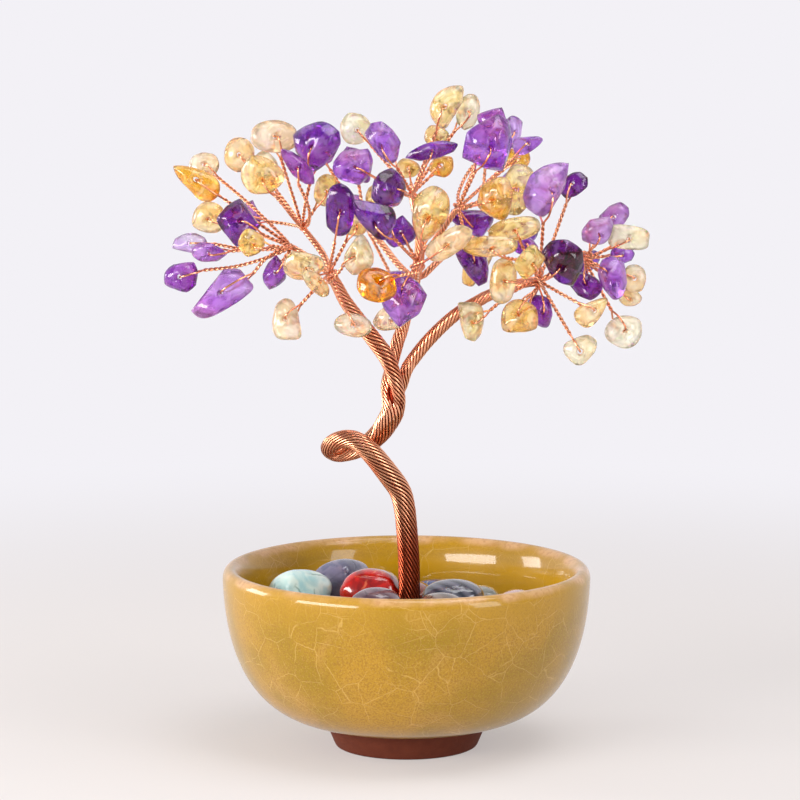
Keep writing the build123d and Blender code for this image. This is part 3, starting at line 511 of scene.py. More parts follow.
@dataclass(frozen=True)
class CrackleGlaze:
    """Mustard crackle glaze over red-brown clay, which shows at the foot."""

    mustard: Colour = (170, 127, 25)
    olive: Colour = (146, 114, 2)
    tan: Colour = (180, 136, 62)
    runny: Colour = (172, 128, 6)
    # Pooled glaze on the inner wall, deeper in colour and also painted lighter than its lamps leave
    # it
    pooled_and_lit: Colour = (184, 137, 0)
    lip: Colour = (204, 160, 116)
    lip_clay: Colour = (172, 124, 82)
    crack: Colour = (220, 182, 104)
    freckle: Colour = (140, 98, 20)
    sparkle: Colour = (208, 170, 84)
    clay: Colour = (106, 50, 32)
    dark_clay: Colour = (84, 36, 22)
    glaze_end: float = 6.5
    lip_start: float = 43.2
    cavity: float = 40.6

    def build(self) -> Material:
        """Lays out the glaze, the clay and the line between them."""
        bench = Bench.named("crackle_glaze")
        out, z = bench.upright()
        wave = bench.noise(9.0, 1.0) - 0.5
        body = bench.blend(bench.patches(24.0, 0.42, 0.66, 2.0), self.mustard, self.olive)
        body = bench.blend(bench.patches(15.0, 0.48, 0.70, 3.0, 0.6) * 0.55, body, self.tan)
        body = bench.blend(bench.patches(0.45, 0.46, 0.62, 2.0) * 0.62, body, self.freckle)
        body = bench.blend(bench.patches(0.38, 0.54, 0.70) * 0.20, body, self.sparkle)
        inside = out.rise(self.cavity * MM, (self.cavity - 0.6) * MM)
        inside = inside * z.rise(28 * MM, 30 * MM)
        body = bench.blend(z.rise(33 * MM, 43 * MM) * 0.5, body, self.runny)
        # The inner wall takes the pooled colour: partly the glaze's own deeper pooling, partly
        # painted light that brightens the wall
        body = bench.blend(inside * 0.8, body, self.pooled_and_lit)
        wide = bench.cracks((6.0, 1.1), 8.0, 0.11) * bench.patches(17.0, 0.38, 0.48)
        fine = bench.cracks((4.0, 0.6), 4.2, 0.08) * bench.patches(13.0, 0.50, 0.58)
        lines = wide.most(fine * 0.6) * bench.patches(4.0, 0.28, 0.50)
        body = bench.blend(lines * (0.30 - inside * 0.15), body, self.crack)
        thin = (z + wave * (1.8 * MM)).rise(self.lip_start * MM, (self.lip_start + 1.6) * MM)
        rub = bench.blend(bench.patches(1.1, 0.44, 0.66, 4.0) * 0.6, self.lip, self.lip_clay)
        broken = bench.patches(9.0, 0.36, 0.64, 2.0) * 0.65 + 0.15
        body = bench.blend(thin * broken, body, rub)
        edge = z + wave * (0.5 * MM)
        bare = edge.rise(self.glaze_end * MM, (self.glaze_end - 0.25) * MM)
        bead = edge.rise((self.glaze_end + 0.8) * MM, self.glaze_end * MM) * 0.45
        body = bench.blend(bead, body, self.lip)
        earth = bench.blend(bench.noise(2.2, 4.0), self.clay, self.dark_clay)
        colour = bench.blend(bare, body, earth)
        relief = lines * -0.30 + bench.noise(6.0, 2.0) * 0.8 + bare * bench.noise(0.5, 3.0)
        return bench.done(
            bench.surface(
                Base_Color=colour,
                Roughness=bare * 0.35 + 0.40,
                Specular_IOR_Level=0.2,
                Coat_Weight=(1 - bare) * 0.75,
                Coat_Roughness=0.07,
                Coat_IOR=1.45,
                Normal=bench.bump(relief, 0.10),
            )
        )


@dataclass(frozen=True)
class CopperWire:
    """Bright soft copper wire, painted darker low down as a reflection of the bowl, and with
    painted shade in the grooves between the wires of a bundle.
    """

    bright: Colour = (252, 182, 142)
    tarnished: Colour = (214, 118, 80)
    # The painted reflection of the bowl and stones, low down on the wire
    low_reflection: Colour = (158, 74, 48)
    # The painted shade in the grooves between the wires
    groove_shade: Colour = (124, 36, 18)
    patch: float = 6.0
    rough: float = 0.16

    def build(self) -> Material:
        """Lays out the metal with its darker patches, its painted low reflection and its painted
        groove shade.
        """
        bench = Bench.named("copper_wire")
        height = bench.upright()[1]
        tarnish = bench.patches(self.patch, 0.46, 0.70, 2.0) * 0.6
        colour = bench.blend(tarnish, self.bright, self.tarnished)
        # Painted reflection: the copper darkens low down, as if it mirrored the darker bowl and
        # stones
        colour = bench.blend(height.rise(68 * MM, 48 * MM), colour, self.low_reflection)
        # Painted shade: a wire takes the dark groove colour where it dips into its bundle, a little
        # less above 90 mm
        groove = bench.own("outward").rise(0.92, 0.68)
        groove = groove * (1 - height.rise(90 * MM, 98 * MM) * 0.35)
        rough = tarnish * 0.08 + groove * 0.30 + self.rough
        colour = bench.blend(groove, colour, self.groove_shade)
        return bench.done(bench.surface(Base_Color=colour, Metallic=1.0, Roughness=rough))


@dataclass(frozen=True)
class GemChip:
    """Tumbled quartz chips, from clear to deep in colour, with clouds and fractures inside."""

    name: str
    stops: Stops
    cloud: Colour
    # Multiplied in toward each chip's outline as the camera sees it, as painted shade
    edge: Colour
    warmth: Colour
    haze: float
    swing: float = 0.20
    split: float = 0.08
    bend: float = 1.50
    # How far light of each channel spreads inside, in metres
    glow: tuple[float, float, float] = (0.004, 0.003, 0.004)

    def build(self) -> Material:
        """Lays out a clear and a cloudy stone and mixes them by their clouds."""
        bench = Bench.named(self.name)
        tint = bench.own("chip_tint")
        halves = bench.patches(6.5, 0.40, 0.58, 0.0) - 0.5
        shards = bench.shards((7.0, 1.2), 5.0) - 0.5
        wisps = bench.noise(3.4, 2.0, 1.0)
        colour = bench.ramp(tint + halves * self.swing + shards * self.split, self.stops)
        warm = bench.blend(1.0, colour, self.warmth, "MULTIPLY")
        colour = bench.blend(bench.patches(16.0, 0.42, 0.60, 0.0) * 0.8, colour, warm)
        # Painted shade: each chip turns deeper toward its outline as the camera sees it, standing
        # in for light bent through its edges
        deep = bench.blend(1.0, colour, self.edge, "MULTIPLY")
        colour = bench.blend(bench.rim().rise(0.42, 0.90) * 0.85, colour, deep)
        veils = bench.cracks((5.0, 2.0), 7.0, 0.7) * bench.patches(5.0, 0.46, 0.60)
        shown = bench.blend((wisps.rise(0.46, 0.70) * 0.35).most(veils * 0.5), colour, self.cloud)
        relief = bench.bump(bench.noise(4.0, 1.0), 0.06)
        same = {"IOR": self.bend, "Normal": relief}
        clear = bench.surface(Base_Color=colour, Roughness=0.04, Transmission_Weight=1.0, **same)
        cloudy = bench.surface(
            Base_Color=shown,
            Roughness=0.30,
            Subsurface_Weight=0.5,
            Subsurface_Radius=self.glow,
            Subsurface_Scale=1.0,
            Coat_Weight=1.0,
            Coat_Roughness=0.04,
            **same,
        )
        haze = (wisps.rise(0.42, 0.66) * 0.22 + self.haze).most(veils * 0.35)
        return bench.done(bench.between(haze * (1.2 - tint * 0.6), clear, cloudy))


class Pattern(Enum):
    """How the colours of a tumbled stone lie."""

    BANDED = "banded"
    CLOUDED = "clouded"


@dataclass(frozen=True)
class StoneFinish:
    """A polished tumbled stone of two colours and a vein, patterned at a size in millimetres."""

    name: str
    ground: Colour
    second: Colour
    vein: Colour
    size: float
    pattern: Pattern = Pattern.CLOUDED
    # How far light of each channel spreads inside, in metres
    glow: tuple[float, float, float] = (0.003, 0.002, 0.002)

    def build(self) -> Material:
        """Lays out the stone's bands or clouds under its polish."""
        bench = Bench.named(self.name)
        if self.pattern is Pattern.BANDED:
            share = bench.bands(self.size, 3.0)
        else:
            share = bench.patches(self.size, 0.35, 0.65, 4.0, 1.0)
        colour = bench.blend(share, self.ground, self.second)
        veins = bench.cracks((4.0, 1.5), 8.0, 0.35) * bench.patches(6.0, 0.5, 0.6)
        stone = bench.surface(
            Base_Color=bench.blend(veins * 0.6, colour, self.vein),
            Roughness=0.20,
            Coat_Weight=1.0,
            Coat_Roughness=0.03,
            Subsurface_Weight=0.12,
            Subsurface_Radius=self.glow,
            Subsurface_Scale=1.0,
            Normal=bench.bump(bench.noise(4.0, 1.0), 0.05),
        )
        return bench.done(stone)


@dataclass(frozen=True)
class Plaster:
    """Dull cast plaster with small pits."""

    light: Colour = (222, 216, 206)
    dark: Colour = (180, 172, 158)

    def build(self) -> Material:
        """Lays out the plaster."""
        bench = Bench.named("cast_plaster")
        pits = bench.noise(0.8, 3.0)
        colour = bench.blend(pits.rise(0.4, 0.7), self.light, self.dark)
        relief = bench.bump(pits, 0.15)
        return bench.done(bench.surface(Base_Color=colour, Roughness=0.9, Normal=relief))


@dataclass(frozen=True)
class PaleCard:
    """The pale floor and backdrop, which keep the shadow but look near white."""

    near: Colour = (230, 224, 222)
    far: Colour = (243, 241, 246)
    share: float = 0.5
    sweep: tuple[float, float] = (120.0, 480.0)

    def build(self) -> Material:
        """Lays out the card, white to the camera, to metal and to glass."""
        bench = Bench.named("pale_card")
        away = bench.upright()[0].rise(self.sweep[0] * MM, self.sweep[1] * MM)
        camera, glossy, through = bench.rays("Camera", "Glossy", "Transmission")
        seen = camera.most(glossy).most(through)
        colour = bench.blend(away, self.near, self.far)
        card = bench.add("ShaderNodeBsdfDiffuse", None, {"Color": colour}).outputs[0]
        glow = bench.add("ShaderNodeEmission", None, {"Color": colour, "Strength": 1.0}).outputs[0]
        share = seen * (away * (1 - self.share) + self.share)
        return bench.done(bench.between(share, card, glow))


# Bowl


@dataclass
class ClayBowl:
    """The fired bowl, turned about its axis: foot, belly, lip and inner wall."""

    radius: float = 45.8
    height: float = 45.6
    wall: float = 5.8
    lip_drop: float = 3.2
    lip_flare: float = 4.4
    floor: float = 10.5
    foot_radius: float = 18.0
    recess: float = 3.0
    sides: int = 120

    @staticmethod
    def _bow(corners: Sequence[tuple[float, float]], steps: int) -> list[tuple[float, float]]:
        """Points on the bow that four corners draw, without the first."""
        points = []
        for step in range(1, steps + 1):
            t = step / steps
            weights = ((1 - t) ** 3, 3 * t * (1 - t) ** 2, 3 * t * t * (1 - t), t**3)
            points.append(tuple(sum(w * c[i] for w, c in zip(weights, corners)) for i in (0, 1)))
        return points

    def profile(self) -> list[tuple[float, float]]:
        """The half section as radius and height, from under the foot round to the inner floor."""
        r, h = self.radius, self.height
        inner = r - self.wall
        low = h - self.lip_drop
        high = low + self.lip_drop * 4 / 3
        points = [(3.0, self.recess), (13.1, self.recess), (13.7, 2.6), (13.9, 0.5), (14.4, 0.0)]
        points += [(17.2, 0.0), (17.75, 0.25), (self.foot_radius, 0.7)]
        points += [(19.1, 3.4), (20.1, 5.7), (20.5, 6.1), (21.1, 6.25), (21.7, 6.60)]
        belly = [(0.80 * r, 0.175 * h), (0.985 * r, 0.44 * h)]
        points += self._bow([points[-1], *belly, (r, low)], 18)
        brink = low - self.lip_flare
        points += self._bow([(r, low), (r, high), (inner + 0.9, high + 0.6), (inner, brink)], 16)
        low_wall = [(0.8 * inner, self.floor), (0.4 * inner, self.floor)]
        points += self._bow([(inner, brink), (inner, 0.46 * h), *low_wall], 12)
        return [*points, (3.0, self.floor)]

    def build(self, glaze: Material) -> None:
        """Turns the bowl.

        Args:
            glaze: the glaze over the clay.
        """
        points = self.profile()
        radius, height = (length * MM for length in points[0])
        bowl = added(
            "turned_bowl",
            bpy.ops.mesh.primitive_circle_add,
            vertices=self.sides,
            radius=radius,
            fill_type="NGON",
            location=(0, 0, height),
        )
        bpy.ops.object.transform_apply(location=True, rotation=True, scale=True)
        bpy.ops.object.mode_set(mode="EDIT")
        bpy.ops.mesh.select_all(action="SELECT")
        for (r0, z0), (r1, z1) in zip(points, points[1:]):
            rise = (0, 0, (z1 - z0) * MM)
            bpy.ops.mesh.extrude_region_move(TRANSFORM_OT_translate={"value": rise})
            bpy.ops.transform.resize(value=(r1 / r0, r1 / r0, 1))
        bpy.ops.mesh.select_all(action="SELECT")
        bpy.ops.mesh.normals_make_consistent(inside=False)
        bpy.ops.object.mode_set(mode="OBJECT")
        rounded(bowl, 1)
        smooth(bowl)
        dress(bowl, glaze, "glazed_clay", "bowl")


# Stones

STONES = {
    "aqua_stone": StoneFinish("aqua_agate", (170, 214, 214), (214, 236, 226), (96, 140, 120), 5.0),
    "blue_grey_stone": StoneFinish(
        "blue_grey_agate", (82, 82, 112), (120, 114, 138), (36, 40, 70), 4.0
    ),
    "carnelian_stone": StoneFinish(
        "red_carnelian", (196, 22, 10), (136, 8, 6), (226, 120, 80), 4.0
    ),
    "plum_agate_stone": StoneFinish(
        "plum_agate", (84, 56, 68), (114, 90, 100), (50, 34, 42), 2.6, Pattern.BANDED
    ),
    "banded_agate_stone": StoneFinish(
        "banded_agate", (40, 44, 58), (98, 98, 112), (20, 22, 32), 2.2, Pattern.BANDED
    ),
    "moss_agate_stone": StoneFinish(
        "moss_agate", (108, 112, 98), (134, 134, 122), (60, 70, 56), 2.5
    ),
    "rose_stone": StoneFinish("rose_agate", (168, 118, 112), (190, 144, 134), (120, 74, 70), 3.5),
    "jade_stone": StoneFinish("jade_green", (112, 146, 112), (150, 176, 142), (70, 100, 70), 3.0),
    "amber_stone": StoneFinish(
        "honey_agate", (186, 124, 46), (214, 160, 84), (120, 64, 20), 2.6, Pattern.BANDED
    ),
    "milk_quartz_stone": StoneFinish(
        "milk_quartz", (226, 222, 214), (240, 238, 232), (180, 172, 160), 4.0
    ),
    "smoky_stone": StoneFinish(
        "smoky_agate", (92, 78, 68), (126, 110, 98), (44, 36, 30), 2.6, Pattern.BANDED
    ),
    "jasper_stone": StoneFinish("brick_jasper", (132, 56, 40), (160, 84, 62), (84, 30, 22), 2.6),
    "lapis_stone": StoneFinish("deep_blue", (40, 58, 120), (66, 88, 152), (190, 170, 110), 2.2),
    "sand_stone": StoneFinish(
        "sand_agate", (196, 170, 134), (216, 196, 164), (150, 120, 84), 2.4, Pattern.BANDED
    ),
    "snow_stone": StoneFinish(
        "pale_grey_agate", (206, 208, 210), (228, 228, 228), (150, 154, 160), 3.0
    ),
}


@dataclass
class StoneBed:
    """The tumbled stones that lie on the plaster."""

    wear: Wear = Wear(1.08, (-0.1, 0.4), 8.0, 0.4)

    def build(self) -> None:
        """Rounds every stone as a tumbling drum does and polishes it."""
        for node, finish in STONES.items():
            stone = copied(node, node + "_tumbled")
            tumbled(stone, self.wear)
            dress(stone, finish.build(), node, node)


# Wire

SIDEWAYS = Vector((1, 0, 0))
UPWARDS = Vector((0, 0, 1))
COPPER_SLOT = "copper_wire"


@dataclass
class Line:
    """A line through the middle of a bundle of wire, with its half width at each point."""

    points: list[Vector]
    widths: list[float]

    @classmethod
    def through(cls, rows: Iterable[Sequence[float]], step: float) -> "Line":
        """A smooth line through rows of x, y, z and half width.

        Args:
            rows: the rows, in millimetres.
            step: how far apart its points lie.

        Returns:
            The line.
        """
        rows = [Vector(row) for row in rows]
        rows = [rows[0] * 2 - rows[1], *rows, rows[-1] * 2 - rows[-2]]
        points, widths = [], []
        for a, b, c, d in zip(rows, rows[1:], rows[2:], rows[3:]):
            count = max(1, round((c - b).xyz.length / step))
            for k in range(count):
                t = k / count
                bend, sway = 2 * a - 5 * b + 4 * c - d, 3 * b - a - 3 * c + d
                spot = 0.5 * (2 * b + (c - a) * t + bend * t * t + sway * t**3)
                points.append(spot.xyz)
                widths.append(spot.w)
        return cls([*points, rows[-2].xyz], [*widths, rows[-2].w])

    def ways(self) -> list[Vector]:
        """The direction that the line runs in at each point."""
        ahead = [*self.points[1:], self.points[-1]]
        behind = [self.points[0], *self.points]
        return [(b - a).normalized() for a, b in zip(behind, ahead)]

    def frames(self, first: Vector) -> list[tuple[Vector, Vector]]:
        """Two directions square to the line at each point, carried along without a twist.

        Args:
            first: where the first of the two points at the start.

        Returns:
            The two directions at each point.
        """
        found = []
        normal = first
        for way in self.ways():
            normal = (normal - way * normal.dot(way)).normalized()
            found.append((normal, way.cross(normal)))
        return found

    def wound(self, angle: float, rate: float, inset: float, first: Vector) -> list[Vector]:
        """A wire wound round the line.

        Args:
            angle: where it starts round the line, in radians.
            rate: how far it turns for each millimetre.
            inset: how far inside the half width its own middle lies.
            first: the direction that angle 0 points in.

        Returns:
            The points of the wire.
        """
        path = []
        run = 0.0
        last = self.points[0]
        for point, (normal, beside), width in zip(self.points, self.frames(first), self.widths):
            run += (point - last).length
            last = point
            turn = angle + rate * run
            off = normal * math.cos(turn) + beside * math.sin(turn)
            path.append(point + off * (width - inset))
        return path

    def length(self) -> float:
        """How long the line is."""
        return sum((b - a).length for a, b in zip(self.points, self.points[1:]))


def drawn(
    name: str,
    paths: Sequence[Sequence[Vector]],
    thick: float,
    widths: Optional[Sequence[float]] = None,
) -> Piece:
    """Makes wires of round section along paths.

    Args:
        name: the piece's name.
        paths: the points of each wire, in millimetres.
        thick: half the wire's thickness, in millimetres.
        widths: shares of that thickness at each point, for one wire that swells.

    Returns:
        The wires as one mesh.
    """
    curve = added(name, bpy.ops.curve.primitive_nurbs_path_add).data
    curve.splines.clear()
    curve.dimensions = "3D"
    curve.bevel_depth = thick * MM
    curve.bevel_resolution = 2
    curve.use_fill_caps = True
    for path in paths:
        spline = curve.splines.new("NURBS")
        spline.points.add(len(path) - 1)
        for i, (point, spot) in enumerate(zip(spline.points, path)):
            point.co = (*(spot * MM), 1.0)
            point.radius = widths[i] if widths else 1.0
        spline.order_u = 3
        spline.use_endpoint_u = True
        spline.resolution_u = 2
    bpy.ops.object.convert(target="MESH")
    wires = bpy.context.view_layer.objects.active
    smooth(wires, 75)
    return wires


Gauge = Callable[[Vector], tuple[float, int]]


def bundle_gauge(lines: Sequence[Line], strand: float) -> Gauge:
    """Makes a gauge of how far out of its bundle a spot lies: 0 deep in a groove, 1 on top.

    Args:
        lines: the lines through the middle of the bundles.
        strand: half the thickness of a wire, in millimetres.

    Returns:
        The gauge, which also gives the number of the nearest point of the lines.
    """
    spots = [spot for line in lines for spot in zip(line.points, line.ways(), line.widths)]
    tree = KDTree(len(spots))
    for number, (point, _, _) in enumerate(spots):
        tree.insert(point, number)
    tree.balance()

    def gauge(place: Vector) -> tuple[float, int]:
        """How far out a place lies, and the point that it is nearest to."""
        number = tree.find(place)[1]
        point, way, width = spots[number]
        off = place - point
        return 1 - (width - (off - way * off.dot(way)).length) / (2 * strand), number

    return gauge


def eased(share: float) -> float:
    """A share from 0 to 1 that starts and ends gently."""
    return share * share * (3 - 2 * share)


def mark_groove_shade(
    wires: Piece, gauge: Gauge, below: Optional[Gauge] = None, parting: int = 0
) -> None:
    """Notes how far out of its bundle each spot lies, for the painted shade in the grooves.

    Args:
        wires: the bundle's wires.
        gauge: the bundle's gauge.
        below: the gauge of the bundle that the wires come out of.
        parting: over how many points of their own bundle they part from that.
    """
    outward = wires.data.attributes.new("outward", "FLOAT", "POINT")
    for vertex, level in zip(wires.data.vertices, outward.data):
        place = vertex.co / MM
        out, number = gauge(place)
        if below and number < parting:
            share = eased(number / parting)
            out = below(place)[0] * (1 - share) + out * share
        level.value = out


@dataclass(frozen=True)
class Bundle:
    """A CAD node's bundle of wires, with rows of x, y, z and half width along its middle."""

    node: str
    rows: Rows


@dataclass
class WireTree:
    """The trunk with its pigtail loop, the branches and the twigs, each a bundle of wires."""

    copper: Material
    trunk_rows: Rows = (
        (0.7, 0, 14.01, 2.52), (0.7, 0, 26.01, 2.69), (0.7, 0, 38.34, 2.72), (0.6, 0, 46.65, 2.72),
        (0.1, 0, 54.2, 2.69), (-0.5, -0.1, 59.99, 2.72), (-1.6, -0.38, 64.18, 2.77),
        (-4.2, -1.34, 68.21, 2.8), (-9, -2.5, 74.34, 2.63), (-13, -2.88, 77.36, 2.35),
        (-17, -1.98, 77.1, 2.21), (-19.24, 0.51, 74.84, 2.18), (-17.2, 2.75, 73.16, 2.18),
        (-13.4, 3.26, 73.66, 2.24), (-9.8, 3.01, 75.43, 2.41), (-6.6, 2.3, 78.36, 2.63),
        (-4.9, 1.22, 80.96, 2.8), (-3.44, 0.29, 83.9, 2.88),
    )
    branches: tuple[Bundle, ...] = (
        Bundle("left_branch", (
            (-1.8, -0.16, 83.27, 1.43), (-1.73, -1.28, 86.73, 1.58), (-2.32, -2.16, 90.54, 1.74),
            (-3.37, -2.36, 94.12, 1.89), (-5.12, -3.12, 98.26, 2.1), (-8.72, -3.4, 103.22, 2.06),
            (-12.08, -4, 107.67, 1.89), (-15.13, -5, 112.21, 1.68), (-17.02, -6.2, 115.99, 1.51),
            (-18.79, -7.8, 119.18, 1.3),
        )),
        Bundle("centre_branch", (
            (-4.59, -1.04, 84.34, 1.43), (-4.92, -0.22, 87.91, 1.48), (-4.77, 0.97, 91.18, 1.54),
            (-3.97, 2.08, 94.12, 1.6), (-2.2, 2.08, 101.12, 1.68), (-1.1, 2.56, 104.14, 1.62),
            (0.61, 3.12, 110.7, 1.55), (2.2, 4, 117.08, 1.47), (3.29, 5, 123.88, 1.3),
            (2.68, 5.92, 131.02, 1.16), (1.4, 6, 137.66, 1.05),
        )),
        Bundle("right_branch", (
            (-3.64, 1.87, 84.76, 1.43), (-2.42, 2.11, 87.59, 1.48), (-1.07, 1.67, 90.71, 1.54),
            (-0.07, 0.67, 94.12, 1.6), (1.34, 1.04, 96.5, 1.68), (5.92, 0.08, 102.3, 1.68),
            (11.89, -1.92, 108.18, 1.6), (16.78, -3.8, 111.37, 1.55), (20.37, -5, 113.47, 1.47),
            (27.69, -7, 116.41, 1.34), (32.33, -7.92, 117.16, 1.26),
        )),
    )
    twigs: tuple[Bundle, ...] = (
        Bundle("far_left_twig", (
            (-18.79, -7.8, 119.18, 0.7), (-20.32, -7.2, 120.32, 0.8), (-23.48, -6, 122.54, 0.9),
            (-28, -4, 125.14, 0.81),
        )),
        Bundle("upper_left_twig", (
            (-18.79, -7.8, 119.18, 0.7), (-18.99, -6.1, 120.22, 0.8), (-20.74, -0.8, 123.46, 0.9),
            (-25.68, 8, 128.92, 0.81),
        )),
        Bundle("front_twig", (
            (0.61, 3.12, 110.7, 0.8), (1.01, 0.5, 111.23, 0.9), (2.07, -2, 116.24, 0.9),
            (2.44, -7, 119.6, 0.9), (2.81, -12, 122.12, 0.81),
        )),
        Bundle("upper_right_twig", (
            (3.29, 5, 123.88, 0.8), (5.65, 4.51, 124.37, 0.9), (7.62, 1.8, 127.16, 0.9),
            (10.07, -2.4, 131.28, 0.9), (12.5, -6, 134.72, 0.81),
        )),
        Bundle("rear_left_twig", (
            (2.2, 4, 117.08, 0.8), (0.72, 6.15, 117.35, 0.9), (-2.44, 10.4, 120.02, 0.9),
            (-6.53, 15.52, 124.72, 0.9), (-10.37, 20, 128.59, 0.81),
        )),
        Bundle("rear_right_twig", (
            (2.2, 4, 117.08, 0.8), (4.2, 5.66, 117.35, 0.9), (8.84, 10.2, 121.36, 0.9),
            (13.48, 15.52, 124.56, 0.9), (18.48, 20, 127.33, 0.81),
        )),
        Bundle("far_right_twig", (
            (32.33, -7.92, 117.16, 0.7), (33.63, -6.48, 117.66, 0.8), (38.49, -1, 119.52, 0.9),
            (43.98, 6, 121.2, 0.81),
        )),
    )
    fork_rows: Rows = ((-3.02, 0.2, 87.41, 2.9), (-2.72, 0.16, 90.81, 3))
    filler_rows: Rows = ((-3.1, 0.2, 86.2, 3), (-2.9, 0.18, 88.6, 2.75), (-2.72, 0.16, 90.8, 1.9))
    strand: float = 0.34
    lay_angle: float = 27.0
    outer_wires: int = 6
    inner_wires: int = 5
    twig_wires: int = 5
    filler_wires: int = 14
    parting: int = 6
    step: float = 0.9
    # Half widths that the wires' lay is worked out for
    trunk_lay: float = 2.7
    branch_lay: float = 1.65
    twig_lay: float = 0.95
    # How far in from a bundle's skin its core and the fork's filler lie, in strands
    core_depth: float = 1.55
    filler_depth: float = 1.6
    # How far past its end a bundle closes up, and how nearly
    tip_reach: float = 0.9
    tip_close: float = 0.75

    def rate(self, width: float) -> float:
        """How fast a wire turns round a bundle of a half width; it climbs to the left in front."""
        return -math.tan(math.radians(self.lay_angle)) / (width - self.strand)

    def knots(self) -> dict[str, Place]:
        """The tip of each branch and twig, from which a spray springs."""
        return {bundle.node: bundle.rows[-1][:3] for bundle in (*self.branches, *self.twigs)}

    def build(self) -> None:
        """Winds the trunk, carries its wires on into the branches, and winds the twigs."""
        trunk = Line.through(self.trunk_rows, self.step)
        whole = Line.through((*self.trunk_rows, *self.fork_rows), self.step)
        top = len(trunk.points)
        rate, branch_rate = self.rate(self.trunk_lay), self.rate(self.branch_lay)
        normal, beside = whole.frames(SIDEWAYS)[top - 1]
        start = -rate * trunk.length()
        drift = (rate - branch_rate) * self.parting * self.step / 2
        below = bundle_gauge([whole], self.strand)
        around = self.outer_wires * len(self.branches)
        count = self.outer_wires + self.inner_wires
        trunk_paths = []
        for bundle in self.branches:
            branch = Line.through(bundle.rows, self.step)
            lean = branch.points[0] - trunk.points[-1]
            facing = math.atan2(lean.dot(beside), lean.dot(normal))
            paths = []
            for k in range(count):
                turn = facing + (k - (count - 1) / 2) * math.tau / count + drift
                path = branch.wound(turn, branch_rate, self.strand, normal)
                number = k - self.inner_wires // 2
                if 0 <= number < self.outer_wires:
                    angle = facing + (number - (self.outer_wires - 1) / 2) * math.tau / around
                    lower = whole.wound(angle + start, rate, self.strand, SIDEWAYS)
                    trunk_paths.append(lower[:top])
                    path = self._parted(lower[top - 2:], path)
                paths.append(path)
            self._bundled(bundle.node, paths, branch, below)
            self._core(bundle.node, branch)
        filler = Line.through((self.trunk_rows[-1], *self.filler_rows), self.step)
        depth = self.filler_depth * self.strand
        for k in range(self.filler_wires):
            turn = start + rate * trunk.length() + k * math.tau / self.filler_wires
            trunk_paths.append(filler.wound(turn, rate, depth, normal))
        wires = drawn("trunk_wires", trunk_paths, self.strand)
        # Painted shade in the grooves between the trunk's wires
        mark_groove_shade(wires, below)
        dress(wires, self.copper, COPPER_SLOT, "trunk")
        self._core("trunk", Line.through((*self.trunk_rows, *self.filler_rows), self.step))
        for bundle in self.twigs:
            twig = Line.through(bundle.rows, self.step)
            turns = [k * math.tau / self.twig_wires for k in range(self.twig_wires)]
            rate = self.rate(self.twig_lay)
            paths = [twig.wound(turn, rate, self.strand, SIDEWAYS) for turn in turns]
            self._bundled(bundle.node, paths, twig)

    def _parted(self, lower: list[Vector], upper: list[Vector]) -> list[Vector]:
        """Leads a wire of the trunk over into its branch, bit by bit.

        Args:
            lower: where the wire would run if the trunk went on.
            upper: where it runs round the branch.

        Returns:
            The wire's own path.
        """
        path = lower[:2]
        for i, spot in enumerate(upper[1:], start=1):
            share = min(1.0, i / self.parting)
            if share < 1.0 and i + 1 < len(lower):
                spot = lower[i + 1].lerp(spot, eased(share))
            path.append(spot)
        return path

    def _bundled(
        self, node: str, paths: list[list[Vector]], line: Line, below: Optional[Gauge] = None
    ) -> None:
        """Draws the wires of a bundle, which close up at its tip.

        Args:
            node: the CAD node that they stand for.
            paths: the wires' points.
            line: the bundle's middle.
            below: the gauge of the bundle that they come out of.
        """
        tip = line.points[-1] + line.ways()[-1] * self.tip_reach
        for path in paths:
            path.append(path[-1].lerp(tip, self.tip_close))
        wires = drawn(node + "_wires", paths, self.strand)
        # Painted shade in the grooves between the bundle's wires
        mark_groove_shade(wires, bundle_gauge([line], self.strand), below, self.parting)
        dress(wires, self.copper, COPPER_SLOT, node)

    def _core(self, node: str, line: Line) -> None:
        """Fills a bundle so that no light comes through between its wires."""
        # The core carries no outward level, so the copper paints it all in its painted groove shade
        widths = [width - self.core_depth * self.strand for width in line.widths]
        dress(drawn(node + "_core", [line.points], 1.0, widths), self.copper, COPPER_SLOT)


# Chips on their stems


Corner = bmesh.types.BMVert
# How many corners each ring of a stem's CAD solid has, from its root to its chip and past it
RING_SIZES = [4, 4, 4, 4, 9, 8, 0]


def joined_to(verts: Iterable[Corner]) -> set[Corner]:
    """The corners that are joined to any of some corners of a mesh."""
    return {edge.other_vert(vert) for vert in verts for edge in vert.link_edges}


@dataclass
class Stem:
    """One doubled wire: its course from the knot, and where it passes through its chip."""

    course: list[Vector]
    front: list[Vector]
    back: list[Vector]


